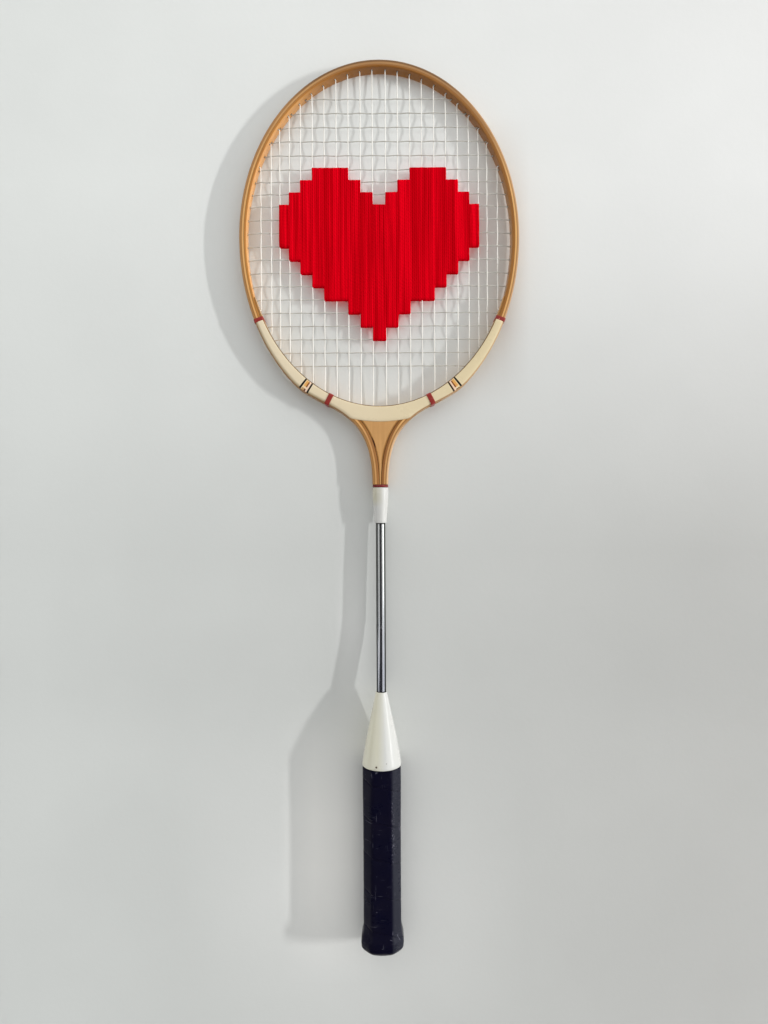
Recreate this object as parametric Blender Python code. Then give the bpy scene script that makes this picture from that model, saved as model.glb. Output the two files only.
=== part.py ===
"""Wooden badminton racket with a steel shaft and a heart wound in red yarn on its strings.

The racket hangs head up: +Z runs along its length, the string bed lies in the XZ plane and
the front faces -Y. The origin is the inside of the head's top, where it hangs. Metres.
"""

import math

import bmesh
import bpy
import numpy as np
from mathutils import Matrix, Vector

# Head: the outer line of the bent bow, two half ellipses that meet at the widest height.
HEAD_HALF_WIDTH = 0.1038
HEAD_RISE = 0.1311
HEAD_DROP = 0.1380
WIDEST_HEIGHT = -0.1255
HEAD_DEPTH = 0.0100
CORNER_CHAMFER = 0.0009
RISE_STEPS = 16
DROP_STEPS = 9

# Shoulders: from the ellipse the outer line swings down into the two legs of the neck.
SHOULDER_HALF_WIDTH = 0.0650
SHOULDER_HANDLE = 0.0310
NECK_HANDLE = 0.0613
NECK_HALF_WIDTH = 0.00585
NECK_BOTTOM = -0.3092
SHOULDER_STEPS = 14

# Laminations, measured inwards from the outer line, with the glue lines as clearances.
OUTER_PLY = 0.00275
INNER_PLY = 0.00240
CLEARANCE = 0.00030
GLUE_LINE = 0.00025
BOW_THICKNESS = OUTER_PLY + GLUE_LINE + INNER_PLY

# Groove round the outside of the bow, where the strings run from hole to hole.
GROOVE_DEPTH = 0.0010
GROOVE_FRONT = -0.0015
GROOVE_BACK = 0.0020
GROOVE_END_HEIGHT = -0.2750
GROOVE_RUN_OUT = 0.3
GROOVE_CUTTER_REACH = 0.0020

# Oval opening of the head. The throat wedge thickens the bow towards its bottom.
OVAL_HALF_WIDTH = 0.0984
OVAL_HALF_HEIGHT = 0.1255
WEDGE_TIP_ANGLE = math.radians(109)
OVAL_STEPS = 36

# Cream overlays on the two faces of the throat.
OVERLAY_THICKNESS = 0.00045
OVERLAY_MARGIN = 0.0010
OVERLAY_LOW_HEIGHT = -0.2627
OVERLAY_LOW_HALF_WIDTH = 0.0229
OVERLAY_LOW_SAG = 0.0025

# Red bindings round the bow: height of the upper pair, half width of the lower pair.
BINDING_THICKNESS = 0.00045
UPPER_BINDING_HEIGHT = -0.1880
UPPER_BINDING_WIDTH = 0.0030
LOWER_BINDING_HALF_WIDTH = 0.0395
LOWER_BINDING_WIDTH = 0.0035

# Strings. A hole is square, and its cutter goes past both ends of the string in it.
STRING_RADIUS = 0.0004
STRING_HOLE = 0.0013
HOLE_PAST_MOUTH = 0.0010
HOLE_PAST_GROOVE = 0.0030
BED_Y = -0.0006
CROSS_HOLE_Y = 0.00115
WEAVE = 0.0010

# Mains: how far each stands from the middle, on either side. The outer ones stand closer.
MAIN_OFFSETS = (
    (0.0049, 0.0139, 0.0230, 0.0319, 0.0409, 0.0497)
    + (0.0585, 0.0668, 0.0740, 0.0804, 0.0882)
)
MAINS_PER_SIDE = len(MAIN_OFFSETS)

# Crosses: the first one's height, then how many follow at which spacing.
FIRST_CROSS = -0.0217
CROSS_SPACINGS = ((5, 0.01050), (3, 0.00913), (12, 0.00992))
MOUTH_STANDOFF = 0.0009
STRING_INSET = 0.0004
TIE_LENGTH = 0.0040
GROOVE_POINT_SPACE = 0.12

# A cross passes no main that stands closer to its hole than the first value, and goes
# behind one that stands closer than the second.
WEAVE_LEAST_ROOM = 0.0006
WEAVE_BEHIND_ROOM = 0.0028

# The two pairs of mains in the middle leave under the shoulders, at these heights.
SHOULDER_EXITS = {0: -0.2700, 1: -0.2625}

# Heart of yarn: for each gap between mains, the cross at its top and the cross at its bottom.
HEART_HALF = ((9, 12), (8, 13), (7, 14), (6, 15), (6, 16), (6, 16), (7, 17), (8, 18), (9, 19))
HEART_FIRST_MAIN = 2
YARN_RADIUS = 0.0007
YARN_LOOPS = 4
YARN_LEAST_PITCH = 0.00175
YARN_CLEARANCE = 0.0003
YARN_CREST = 0.0016
YARN_CREST_HALF = 0.0014
YARN_SHOULDER = 0.0004
YARN_TAIL = 0.0016
GAP_SAMPLE_STEP = 0.0005
GAP_SAMPLE_REACH = 0.0050

# Shaft and the parts on it.
SHAFT_RADIUS = 0.0035
SHAFT_WALL = 0.0007
SHAFT_TOP = -0.2760
SHAFT_BOTTOM = -0.5230
BORE_RADIUS = 0.0038
BORE_TOP = -0.2750
NECK_BORE_BOTTOM = -0.3200
COLLAR_RADIUS = 0.00565
COLLAR_TOP = NECK_BOTTOM - CLEARANCE
COLLAR_BOTTOM = COLLAR_TOP - 0.0019
FERRULE_TOP = COLLAR_BOTTOM - CLEARANCE
FERRULE_BOTTOM = -0.3378

# Ferrule's outside, from its top down: radius and height.
FERRULE_OUTSIDE = (
    (0.00560, FERRULE_TOP),
    (0.00585, FERRULE_TOP - 0.0006),
    (0.00575, FERRULE_TOP - 0.0090),
    (0.00465, FERRULE_BOTTOM + 0.0030),
    (0.00455, FERRULE_BOTTOM + 0.0005),
    (0.00430, FERRULE_BOTTOM),
)

# Cone: outside from its top down, and inside from its rim up. Radius and height.
CONE_TOP = -0.4637
CONE_BOTTOM = -0.5180
CONE_BORE_RADIUS = 0.0037
CONE_SIDES = 24
CONE_OUTSIDE = (
    (0.0041, CONE_TOP),
    (0.0044, CONE_TOP - 0.0016),
    (0.0105, -0.4940),
    (0.0144, CONE_BOTTOM + 0.0028),
    (0.0147, CONE_BOTTOM + 0.0012),
    (0.0145, CONE_BOTTOM),
)
CONE_INSIDE = (
    (0.0133, CONE_BOTTOM),
    (0.0091, -0.4945),
    (0.0049, -0.4760),
    (CONE_BORE_RADIUS, -0.4745),
    (CONE_BORE_RADIUS, CONE_TOP),
)

# Brads through the cone's rim: radius, and distance from the racket's middle.
BRAD_OFFSET = 0.0039
BRAD_HEIGHT = -0.5151
BRAD_SIDES = 8
BRAD_PROFILE = (
    (0.0, 0.00735),
    (0.00045, 0.00835),
    (0.00045, 0.01395),
    (0.00085, 0.01395),
    (0.00085, 0.01435),
    (0.0, 0.01455),
)
BRAD_HOLE_RADIUS = 0.00115
BRAD_HOLE_START = 0.00695
BRAD_HOLE_END = 0.01535

# Wooden core: a plug inside the cone, as half width, half depth, facet and height, then the
# octagon under the leather, set back where the cone's rim meets it.
PLUG_TOP = (0.0050, 0.0050, 0.0030, -0.4800)
PLUG_BOTTOM = (0.0112, 0.0104, 0.0058, CONE_BOTTOM + 0.0004)
CORE_TOP = CONE_BOTTOM + 0.0003
CORE_TOP_SETBACK = 0.0010
CORE_BORE_TOP = -0.4700
CORE_BORE_BOTTOM = SHAFT_BOTTOM - 0.0006

# Grip: an octagon that flares at the butt, wound with one strip of leather.
GRIP_TOP = -0.5184
GRIP_HALF_WIDTH = 0.0142
GRIP_HALF_DEPTH = 0.0126
GRIP_FACET = 0.0067
FLARE_START = -0.6360
FLARE_END = -0.6465
FLARE = 0.0016
LEATHER_THICKNESS = 0.0015
LEATHER_PITCH = 0.0267
LEATHER_SEAM_GAP = 0.0005
LEATHER_SEAM_HEIGHT = -0.5361
LEATHER_BOTTOM = -0.6486
LEATHER_LEAST_WIDTH = 0.0020

# Butt cap: height and inset below the leather's face, from its top down.
CAP_BOTTOM = -0.6556
CAP_RINGS = (
    (LEATHER_BOTTOM - CLEARANCE, 0.0002),
    (CAP_BOTTOM + 0.0045, 0.0004),
    (CAP_BOTTOM + 0.0018, 0.0017),
    (CAP_BOTTOM + 0.0004, 0.0040),
    (CAP_BOTTOM, 0.0058),
)

# Tack in the cap: its head sits in a hollow, its shank goes up into the core.
TACK_HEAD_RADIUS = 0.0030
TACK_SHANK_RADIUS = 0.0008
TACK_SEAT = CAP_BOTTOM + 0.0016
TACK_POINT = LEATHER_BOTTOM + 0.0120
TACK_PROFILE = (
    (0.0, TACK_POINT),
    (0.0003, TACK_POINT - 0.0004),
    (TACK_SHANK_RADIUS, TACK_POINT - 0.0020),
    (TACK_SHANK_RADIUS, TACK_SEAT),
    (TACK_HEAD_RADIUS, TACK_SEAT),
    (TACK_HEAD_RADIUS, CAP_BOTTOM + 0.0007),
    (0.0018, CAP_BOTTOM + 0.0003),
    (0.0, CAP_BOTTOM + 0.0003),
)
TACK_SIDES = 12
TACK_HOLE_BOTTOM = CAP_BOTTOM - 0.0010

ROUND_SIDES = 20


def metal(name, colour, roughness):
    return finish(name, colour, roughness, 1.0)


def finish(name, colour, roughness, metallic=0.0):
    material = bpy.data.materials.new(name)
    material.use_nodes = True
    shader = material.node_tree.nodes["Principled BSDF"]
    shader.inputs["Base Color"].default_value = (*colour, 1.0)
    shader.inputs["Roughness"].default_value = roughness
    shader.inputs["Metallic"].default_value = metallic
    return material


def add_part(name, data, material, smooth_angle=35):
    """Puts a finished mesh or curve into the scene as one named part of the racket."""
    data.materials.append(material)
    obj = bpy.data.objects.new(name, data)
    bpy.context.collection.objects.link(obj)
    obj.parent = bpy.data.objects["racket"]
    if obj.type == "MESH":
        data.shade_smooth()
        data.set_sharp_from_angle(angle=math.radians(smooth_angle))
    return obj


def mesh_from(name, bm):
    bmesh.ops.recalc_face_normals(bm, faces=bm.faces)
    mesh = bpy.data.meshes.new(name)
    bm.to_mesh(mesh)
    bm.free()
    return mesh


def skin_rings(name, rings, closed=False):
    """A solid through rings of points, capped at both ends or closed on itself."""
    bm = bmesh.new()
    rows = [[bm.verts.new(point) for point in ring] for ring in rings]
    sides = len(rows[0])
    pairs = list(zip(rows, rows[1:]))
    if closed:
        pairs.append((rows[-1], rows[0]))
    for first, second in pairs:
        for i in range(sides):
            j = (i + 1) % sides
            bm.faces.new((first[i], first[j], second[j], second[i]))
    if not closed:
        bm.faces.new(rows[0])
        bm.faces.new(rows[-1][::-1])
    return mesh_from(name, bm)


def plate(name, outline, front, back):
    """A flat plate with the outline (x, z), from y = front to y = back."""
    bm = bmesh.new()
    face = bm.faces.new([bm.verts.new((x, front, z)) for x, z in outline])
    made = bmesh.ops.extrude_face_region(bm, geom=[face])
    moved = [v for v in made["geom"] if isinstance(v, bmesh.types.BMVert)]
    bmesh.ops.translate(bm, verts=moved, vec=(0, back - front, 0))
    return mesh_from(name, bm)


def turned(name, profile, sides=ROUND_SIDES):
    """A body turned about the Z axis from the closed profile (radius, z)."""
    bm = bmesh.new()
    ring = [bm.verts.new((radius, 0, z)) for radius, z in profile]
    edges = [bm.edges.new((ring[i], ring[(i + 1) % len(ring)])) for i in range(len(ring))]
    bmesh.ops.spin(
        bm,
        geom=ring + edges,
        cent=(0, 0, 0),
        axis=(0, 0, 1),
        angle=2 * math.pi,
        steps=sides,
        use_merge=True,
    )
    return mesh_from(name, bm)


def tube(name, points, radius, material, resolution=0):
    """A string or yarn along its route, as a bevelled curve with closed ends."""
    curve = bpy.data.curves.new(name, "CURVE")
    curve.dimensions = "3D"
    curve.bevel_depth = radius
    curve.bevel_resolution = resolution
    curve.use_fill_caps = True
    spline = curve.splines.new("POLY")
    spline.points.add(len(points) - 1)
    for slot, point in zip(spline.points, points):
        slot.co = (*point, 1.0)
    return add_part(name, curve, material)


def cut(obj, cutter):
    modifier = obj.modifiers.new("cut", "BOOLEAN")
    modifier.operation = "DIFFERENCE"
    modifier.solver = "EXACT"
    modifier.object = cutter
    return modifier


def add_cutter(name, mesh):
    cutter = bpy.data.objects.new(name, mesh)
    bpy.context.collection.objects.link(cutter)
    cutter.parent = bpy.data.objects["racket"]
    cutter.hide_render = True
    cutter.display_type = "WIRE"
    return cutter


def head_station(angle):
    """Point and outward normal (x, z) of the outer line, by its angle from the top."""
    half_height = HEAD_RISE if math.cos(angle) > 0 else HEAD_DROP
    x = HEAD_HALF_WIDTH * math.sin(angle)
    rise = half_height * math.cos(angle)
    normal = Vector((x / HEAD_HALF_WIDTH**2, rise / half_height**2)).normalized()
    return Vector((x, WIDEST_HEIGHT + rise)), normal


def shoulder_station(u):
    """Point and outward normal of the outer line from shoulder (u = 0) to neck (u = 1)."""
    start, normal = head_station(math.pi - math.asin(SHOULDER_HALF_WIDTH / HEAD_HALF_WIDTH))
    end = Vector((NECK_HALF_WIDTH, NECK_BOTTOM))
    first = start + SHOULDER_HANDLE * Vector((normal.y, -normal.x))
    second = end + Vector((0, NECK_HANDLE))
    v = 1 - u
    point = v**3 * start + 3 * v * v * u * first + 3 * v * u * u * second + u**3 * end
    slope = v * v * (first - start) + 2 * v * u * (second - first) + u * u * (end - second)
    return point, Vector((-slope.y, slope.x)).normalized()


def bow_line():
    """Stations of the outer line, from the left leg's foot over the top to the right foot."""
    last = math.pi - math.asin(SHOULDER_HALF_WIDTH / HEAD_HALF_WIDTH)
    quarter = math.pi / 2
    right = [head_station(quarter * i / RISE_STEPS) for i in range(RISE_STEPS)]
    right += [
        head_station(quarter + (last - quarter) * i / DROP_STEPS) for i in range(DROP_STEPS)
    ]
    right += [shoulder_station(i / SHOULDER_STEPS) for i in range(SHOULDER_STEPS + 1)]
    flip = [(Vector((-p.x, p.y)), Vector((-n.x, n.y))) for p, n in right[:0:-1]]
    return flip + right


def groove_line(stations):
    """Stations of the groove, which runs out between two stations on each shoulder."""
    kept = [i for i, (point, _) in enumerate(stations) if point.y > GROOVE_END_HEIGHT]
    first, last = kept[0], kept[-1]
    ends = []
    for inside, outside in ((first, first - 1), (last, last + 1)):
        point = stations[inside][0].lerp(stations[outside][0], GROOVE_RUN_OUT)
        normal = stations[inside][1].lerp(stations[outside][1], GROOVE_RUN_OUT)
        ends.append((point, normal.normalized()))
    return [ends[0]] + stations[first : last + 1] + [ends[1]]


def offset_line(stations, inset):
    return [point - inset * normal for point, normal in stations]


def sweep(name, stations, profile):
    """A strip of the bow: the profile (inset, y) carried along the outer line."""
    rings = []
    for point, normal in stations:
        ring = []
        for inset, y in profile:
            place = point - inset * normal
            ring.append((place.x, y, place.y))
        rings.append(ring)
    return skin_rings(name, rings)


def oval_height(x, shrink=0.0):
    """Half height of the head's opening at x, with the oval drawn in by shrink."""
    share = x / (OVAL_HALF_WIDTH - shrink)
    return (OVAL_HALF_HEIGHT - shrink) * math.sqrt(max(0.0, 1 - share * share))


def oval_width(z, shrink=0.0):
    share = (z - WIDEST_HEIGHT) / (OVAL_HALF_HEIGHT - shrink)
    return (OVAL_HALF_WIDTH - shrink) * math.sqrt(max(0.0, 1 - share * share))


def oval_normal(x, z):
    out = Vector((x / OVAL_HALF_WIDTH**2, (z - WIDEST_HEIGHT) / OVAL_HALF_HEIGHT**2))
    return out.normalized()


def ray_to_line(origin, direction, line):
    """Where a ray meets a line of points: the distance, and the place along the line."""
    best = None
    for i, (a, b) in enumerate(zip(line, line[1:])):
        run = b - a
        cross = direction.x * run.y - direction.y * run.x
        if abs(cross) < 1e-12:
            continue
        gap = a - origin
        distance = (gap.x * run.y - gap.y * run.x) / cross
        share = (gap.x * direction.y - gap.y * direction.x) / cross
        if distance > 0 and 0 <= share <= 1 and (best is None or distance < best[0]):
            best = (distance, i + share)
    return best


def line_point(line, place):
    i = min(int(place), len(line) - 2)
    return line[i].lerp(line[i + 1], place - i)


def main_positions():
    """x of the mains, from left to right."""
    return [-x for x in reversed(MAIN_OFFSETS)] + list(MAIN_OFFSETS)


def cross_heights():
    """z of the crosses, from the top down."""
    heights = [FIRST_CROSS]
    for count, pitch in CROSS_SPACINGS:
        for _ in range(count):
            heights.append(heights[-1] - pitch)
    return heights


def string_end(x, z, y, line, toward=None):
    """Where a string bends at its hole, and where that hole meets the groove."""
    bend = Vector((x, z))
    if toward is None:
        direction = oval_normal(x, z)
    else:
        direction = (toward - bend).normalized()
    distance, place = ray_to_line(bend, direction, line)
    return {"bend": bend, "exit": bend + distance * direction, "place": place, "y": y}


def main_ends(line):
    """Top and bottom end of each main, from left to right."""
    ends = []
    shoulder = {}
    for rank, height in SHOULDER_EXITS.items():
        place = next(
            i for i in range(len(line) // 2, len(line) - 1) if line[i + 1].y < height
        )
        share = (line[place].y - height) / (line[place].y - line[place + 1].y)
        shoulder[rank] = line[place].lerp(line[place + 1], share)
    for index, x in enumerate(main_positions()):
        rank = max(index - MAINS_PER_SIDE, MAINS_PER_SIDE - 1 - index)
        reach = oval_height(x, MOUTH_STANDOFF)
        top = string_end(x, WIDEST_HEIGHT + reach, BED_Y, line)
        toward = shoulder.get(rank)
        if toward is not None:
            toward = Vector((math.copysign(toward.x, x), toward.y))
        bottom = string_end(x, WIDEST_HEIGHT - reach, BED_Y, line, toward)
        ends.append((top, bottom))
    return ends


def cross_ends(line):
    """Left and right end of each cross, from the top down."""
    ends = []
    for z in cross_heights():
        reach = oval_width(z, MOUTH_STANDOFF)
        ends.append(
            (
                string_end(-reach, z, CROSS_HOLE_Y, line),
                string_end(reach, z, CROSS_HOLE_Y, line),
            )
        )
    return ends


def at(point, y):
    return (point.x, y, point.y)


def outside_loop(first, second, line):
    """The string's way along the groove from one hole to the next."""
    a, b = first["place"], second["place"]
    between = range(math.ceil(min(a, b)), math.floor(max(a, b)) + 1)
    turns = list(between) if a < b else list(reversed(between))
    turns = [i for i in turns if min(abs(i - a), abs(i - b)) > GROOVE_POINT_SPACE]
    return [at(line[i], first["y"]) for i in turns]


def tie(end, line, step):
    """The short tail of a string that is tied off in the groove."""
    length = (line[int(end["place"])] - line[int(end["place"]) + 1]).length
    return at(line_point(line, end["place"] + step * TIE_LENGTH / length), end["y"])


def main_string_route(line):
    """One string for all the mains: its middle loops over the top, its ends are tied low."""
    ends = main_ends(line)
    halves = []
    indexes = range(len(ends))
    for side, order in ((1, indexes[MAINS_PER_SIDE:]), (-1, indexes[MAINS_PER_SIDE - 1 :: -1])):
        route = []
        for k, index in enumerate(order):
            top, bottom = ends[index]
            start, stop = (top, bottom) if k % 2 == 0 else (bottom, top)
            for end, inward in ((start, True), (stop, False)):
                pair = [at(end["exit"], end["y"]), at(end["bend"], end["y"])]
                route += pair if inward else pair[::-1]
            if k + 1 < len(order):
                following = ends[order[k + 1]][0 if k % 2 else 1]
                route += outside_loop(stop, following, line)
        route.append(tie(ends[order[-1]][1], line, side))
        halves.append(route)
    left = ends[MAINS_PER_SIDE - 1][0]
    right = ends[MAINS_PER_SIDE][0]
    return halves[1][::-1] + outside_loop(left, right, line) + halves[0]


def woven_row(row, mains, left, right):
    """Points of one cross where it passes in front of and behind the mains, left to right."""
    points = []
    for index, x in enumerate(mains):
        room = right["bend"].x - abs(x)
        if room < WEAVE_LEAST_ROOM:
            continue
        side = 1 if (index + row) % 2 or room < WEAVE_BEHIND_ROOM else -1
        points.append((x, BED_Y + side * WEAVE, left["bend"].y))
    return points


def cross_string_route(line):
    """One string for all the crosses, woven through the mains from the top row down."""
    mains = main_positions()
    ends = cross_ends(line)
    route = [tie(ends[0][0], line, 1)]
    for row, (left, right) in enumerate(ends):
        points = [at(left["exit"], left["y"]), at(left["bend"], left["y"])]
        points += woven_row(row, mains, left, right)
        points += [at(right["bend"], right["y"]), at(right["exit"], right["y"])]
        leaving = right
        if row % 2:
            points.reverse()
            leaving = left
        route += points
        if row + 1 < len(ends):
            following = ends[row + 1][0 if row % 2 else 1]
            route += outside_loop(leaving, following, line)
    last = ends[-1][len(ends) % 2]
    route.append(tie(last, line, 1 if len(ends) % 2 else -1))
    return route


def string_hole(bm, end):
    """A square hole through the bow, along the string that it holds."""
    inner = Vector(at(end["bend"], end["y"]))
    outer = Vector(at(end["exit"], end["y"]))
    axis = (outer - inner).normalized()
    inner -= HOLE_PAST_MOUTH * axis
    outer += HOLE_PAST_GROOVE * axis
    across = axis.cross(Vector((0, 1, 0)))
    frame = Matrix((across, Vector((0, 1, 0)), axis)).transposed().to_4x4()
    size = Matrix.Diagonal((STRING_HOLE, STRING_HOLE, (outer - inner).length, 1.0))
    place = Matrix.Translation((inner + outer) / 2) @ frame @ size
    bmesh.ops.create_cube(bm, size=1.0, matrix=place)


def build_bow(tan_wood, brown_wood, pale_wood):
    """The two bent laminations and the throat wedge, grooved and drilled for the strings."""
    stations = bow_line()
    half = HEAD_DEPTH / 2
    edge = CORNER_CHAMFER
    inner_start = OUTER_PLY + GLUE_LINE
    outer_profile = (
        (edge, -half),
        (0.0, -half + edge),
        (0.0, half - edge),
        (edge, half),
        (OUTER_PLY, half),
        (OUTER_PLY, -half),
    )
    inner_profile = (
        (inner_start, -half),
        (inner_start, half),
        (BOW_THICKNESS - edge, half),
        (BOW_THICKNESS, half - edge),
        (BOW_THICKNESS, -half + edge),
        (BOW_THICKNESS - edge, -half),
    )
    outer_ply = add_part("outer_ply", sweep("outer_ply", stations, outer_profile), tan_wood)
    inner_ply = add_part("inner_ply", sweep("inner_ply", stations, inner_profile), brown_wood)
    wedge = add_part("throat_wedge", wedge_mesh(stations), pale_wood)

    groove_profile = (
        (-GROOVE_CUTTER_REACH, GROOVE_FRONT),
        (-GROOVE_CUTTER_REACH, GROOVE_BACK),
        (GROOVE_DEPTH, GROOVE_BACK),
        (GROOVE_DEPTH, GROOVE_FRONT),
    )
    groove_mesh = sweep("groove_cutter", groove_line(stations), groove_profile)
    groove = add_cutter("groove_cutter", groove_mesh)

    line = offset_line(stations, STRING_INSET)
    holes = bmesh.new()
    for pair in main_ends(line) + cross_ends(line):
        for end in pair:
            string_hole(holes, end)
    drill = add_cutter("string_hole_cutter", mesh_from("string_hole_cutter", holes))

    bore_mesh = solid_rod("neck_bore_cutter", bore_profile(BORE_TOP, NECK_BORE_BOTTOM))
    bore = add_cutter("neck_bore_cutter", bore_mesh)

    cut(outer_ply, groove)
    for body in (outer_ply, inner_ply, wedge):
        cut(body, drill)
        cut(body, bore)
    return stations


def bore_profile(top, bottom):
    """Profile of the shaft's bore, from top to bottom."""
    return ((0.0, top), (BORE_RADIUS, top), (BORE_RADIUS, bottom), (0.0, bottom))


def solid_rod(name, profile, sides=16):
    """A turned body whose profile starts and ends on the axis."""
    bm = bmesh.new()
    path = [bm.verts.new((radius, 0, z)) for radius, z in profile]
    edges = [bm.edges.new(pair) for pair in zip(path, path[1:])]
    bmesh.ops.spin(
        bm,
        geom=path + edges,
        cent=(0, 0, 0),
        axis=(0, 0, 1),
        angle=2 * math.pi,
        steps=sides,
        use_merge=True,
    )
    bmesh.ops.remove_doubles(bm, verts=bm.verts, dist=1e-6)
    return mesh_from(name, bm)


def wedge_mesh(stations):
    """The throat wedge: a crescent under the oval that runs down between the legs."""
    start = len(stations) // 2
    legs = [
        (point, normal)
        for point, normal in stations[start:]
        if point.y <= head_station(WEDGE_TIP_ANGLE)[0].y
    ]
    right = offset_line(legs, BOW_THICKNESS + GLUE_LINE)
    right[-1].y = NECK_BOTTOM
    tip = right[0]
    tip_angle = math.acos((tip.y - WIDEST_HEIGHT) / OVAL_HALF_HEIGHT)
    opening = []
    for i in range(OVAL_STEPS + 1):
        angle = tip_angle + (2 * math.pi - 2 * tip_angle) * i / OVAL_STEPS
        opening.append(
            (
                OVAL_HALF_WIDTH * math.sin(angle),
                WIDEST_HEIGHT + OVAL_HALF_HEIGHT * math.cos(angle),
            )
        )
    outline = opening
    outline += [(-p.x, p.y) for p in right]
    outline += [(p.x, p.y) for p in reversed(right)]
    half = HEAD_DEPTH / 2
    return plate("throat_wedge", outline, -half, half)


def overlay_outline(stations):
    """Outline of a cream overlay: the oval's edge, the bow's edge and the lower arc."""
    start = len(stations) // 2
    top = UPPER_BINDING_HEIGHT - UPPER_BINDING_WIDTH / 2 - CLEARANCE
    outer = [
        point - OVERLAY_MARGIN * normal
        for point, normal in stations[start:]
        if OVERLAY_LOW_HEIGHT + OVERLAY_LOW_SAG < point.y < top - 0.002
    ]
    _, normal = head_station(math.acos((UPPER_BINDING_HEIGHT - WIDEST_HEIGHT) / HEAD_DROP))
    binding_foot, _ = binding_station(stations, height=UPPER_BINDING_HEIGHT)
    along = Vector((normal.y, -normal.x))
    corner = binding_foot + (UPPER_BINDING_WIDTH / 2 + CLEARANCE) * along
    outer_corner = corner - OVERLAY_MARGIN * normal
    distance = oval_distance(corner, -normal)
    inner_corner = corner - (distance - OVERLAY_MARGIN) * normal
    low_arc = []
    for i in range(9):
        x = OVERLAY_LOW_HALF_WIDTH * (1 - i / 4)
        share = x / OVERLAY_LOW_HALF_WIDTH
        low_arc.append(Vector((x, OVERLAY_LOW_HEIGHT + OVERLAY_LOW_SAG * share * share)))
    opening = []
    first_angle = math.atan2(
        inner_corner.x / (OVAL_HALF_WIDTH + OVERLAY_MARGIN),
        (inner_corner.y - WIDEST_HEIGHT) / (OVAL_HALF_HEIGHT + OVERLAY_MARGIN),
    )
    for i in range(OVAL_STEPS + 1):
        angle = -first_angle + (2 * first_angle - 2 * math.pi) * i / OVAL_STEPS
        opening.append(
            Vector(
                (
                    (OVAL_HALF_WIDTH + OVERLAY_MARGIN) * math.sin(angle),
                    WIDEST_HEIGHT + (OVAL_HALF_HEIGHT + OVERLAY_MARGIN) * math.cos(angle),
                )
            )
        )
    right_side = [outer_corner] + outer
    outline = right_side + low_arc
    outline += [Vector((-p.x, p.y)) for p in reversed(right_side)]
    outline += opening
    return [(p.x, p.y) for p in outline]


def oval_distance(point, direction):
    """Distance from a point on the bow to the oval, along the direction."""
    low, high = 0.0, 0.02
    for _ in range(40):
        middle = (low + high) / 2
        place = point + middle * direction
        inside = (place.x / OVAL_HALF_WIDTH) ** 2
        inside += ((place.y - WIDEST_HEIGHT) / OVAL_HALF_HEIGHT) ** 2
        if inside < 1:
            high = middle
        else:
            low = middle
    return low


def binding_station(stations, height=None, half_width=None):
    """Point and normal of the right side of the bow under the middle of a binding."""
    start = len(stations) // 2
    for (a, normal_a), (b, normal_b) in zip(stations[start:], stations[start + 1 :]):
        if height is not None:
            share = (a.y - height) / (a.y - b.y) if a.y != b.y else -1
        else:
            share = (a.x - half_width) / (a.x - b.x) if a.x != b.x else -1
        past_widest = b.y < WIDEST_HEIGHT
        if past_widest and 0 <= share <= 1:
            return a.lerp(b, share), normal_a.lerp(normal_b, share).normalized()
    return None


def add_bindings(stations, red):
    """The four red bindings: closed bands round the bow, one pair above the other."""
    overlay_face = HEAD_DEPTH / 2 + CLEARANCE + OVERLAY_THICKNESS
    kinds = (
        ("upper", {"height": UPPER_BINDING_HEIGHT}, UPPER_BINDING_WIDTH, HEAD_DEPTH / 2),
        ("lower", {"half_width": LOWER_BINDING_HALF_WIDTH}, LOWER_BINDING_WIDTH, overlay_face),
    )
    for kind, where, width, face in kinds:
        point, normal = binding_station(stations, **where)
        along = Vector((normal.y, -normal.x))
        depth = oval_distance(point, -normal)
        for side_name, side in (("right", 1), ("left", -1)):
            rings = []
            for shift, grow in ((-1, 0), (1, 0), (1, 1), (-1, 1)):
                reach = CLEARANCE + grow * BINDING_THICKNESS
                middle = point + shift * width / 2 * along
                ring = []
                for inset, y in (
                    (-reach, -face - reach),
                    (-reach, face + reach),
                    (depth + reach, face + reach),
                    (depth + reach, -face - reach),
                ):
                    place = middle - inset * normal
                    ring.append((side * place.x, y, place.y))
                rings.append(ring)
            name = f"{kind}_binding_{side_name}"
            add_part(name, skin_rings(name, rings, closed=True), red)


def add_strings(stations, string_finish):
    line = offset_line(stations, STRING_INSET)
    tube("main_string", main_string_route(line), STRING_RADIUS, string_finish)
    tube("cross_string", cross_string_route(line), STRING_RADIUS, string_finish)


def least_gap(route, radius):
    """Least gap of a winding to itself, measured on points along its route."""
    samples = []
    for a, b in zip(route, route[1:]):
        a, b = Vector(a), Vector(b)
        count = max(1, round((b - a).length / GAP_SAMPLE_STEP))
        samples += [a.lerp(b, i / count) for i in range(count)]
    places = np.array(samples)
    steps = np.linalg.norm(np.diff(places, axis=0), axis=1)
    along = np.concatenate(([0.0], np.cumsum(steps)))
    apart = np.linalg.norm(places[:, None] - places[None], axis=2)
    other_turn = np.abs(along[:, None] - along[None]) > GAP_SAMPLE_REACH
    return float(apart[other_turn].min()) - 2 * radius


def heart_columns():
    """The heart's columns from left to right: index of the main on the left, top, bottom."""
    rows = list(HEART_HALF) + list(HEART_HALF[-2::-1])
    return [(HEART_FIRST_MAIN + i, top, bottom) for i, (top, bottom) in enumerate(rows)]


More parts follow.
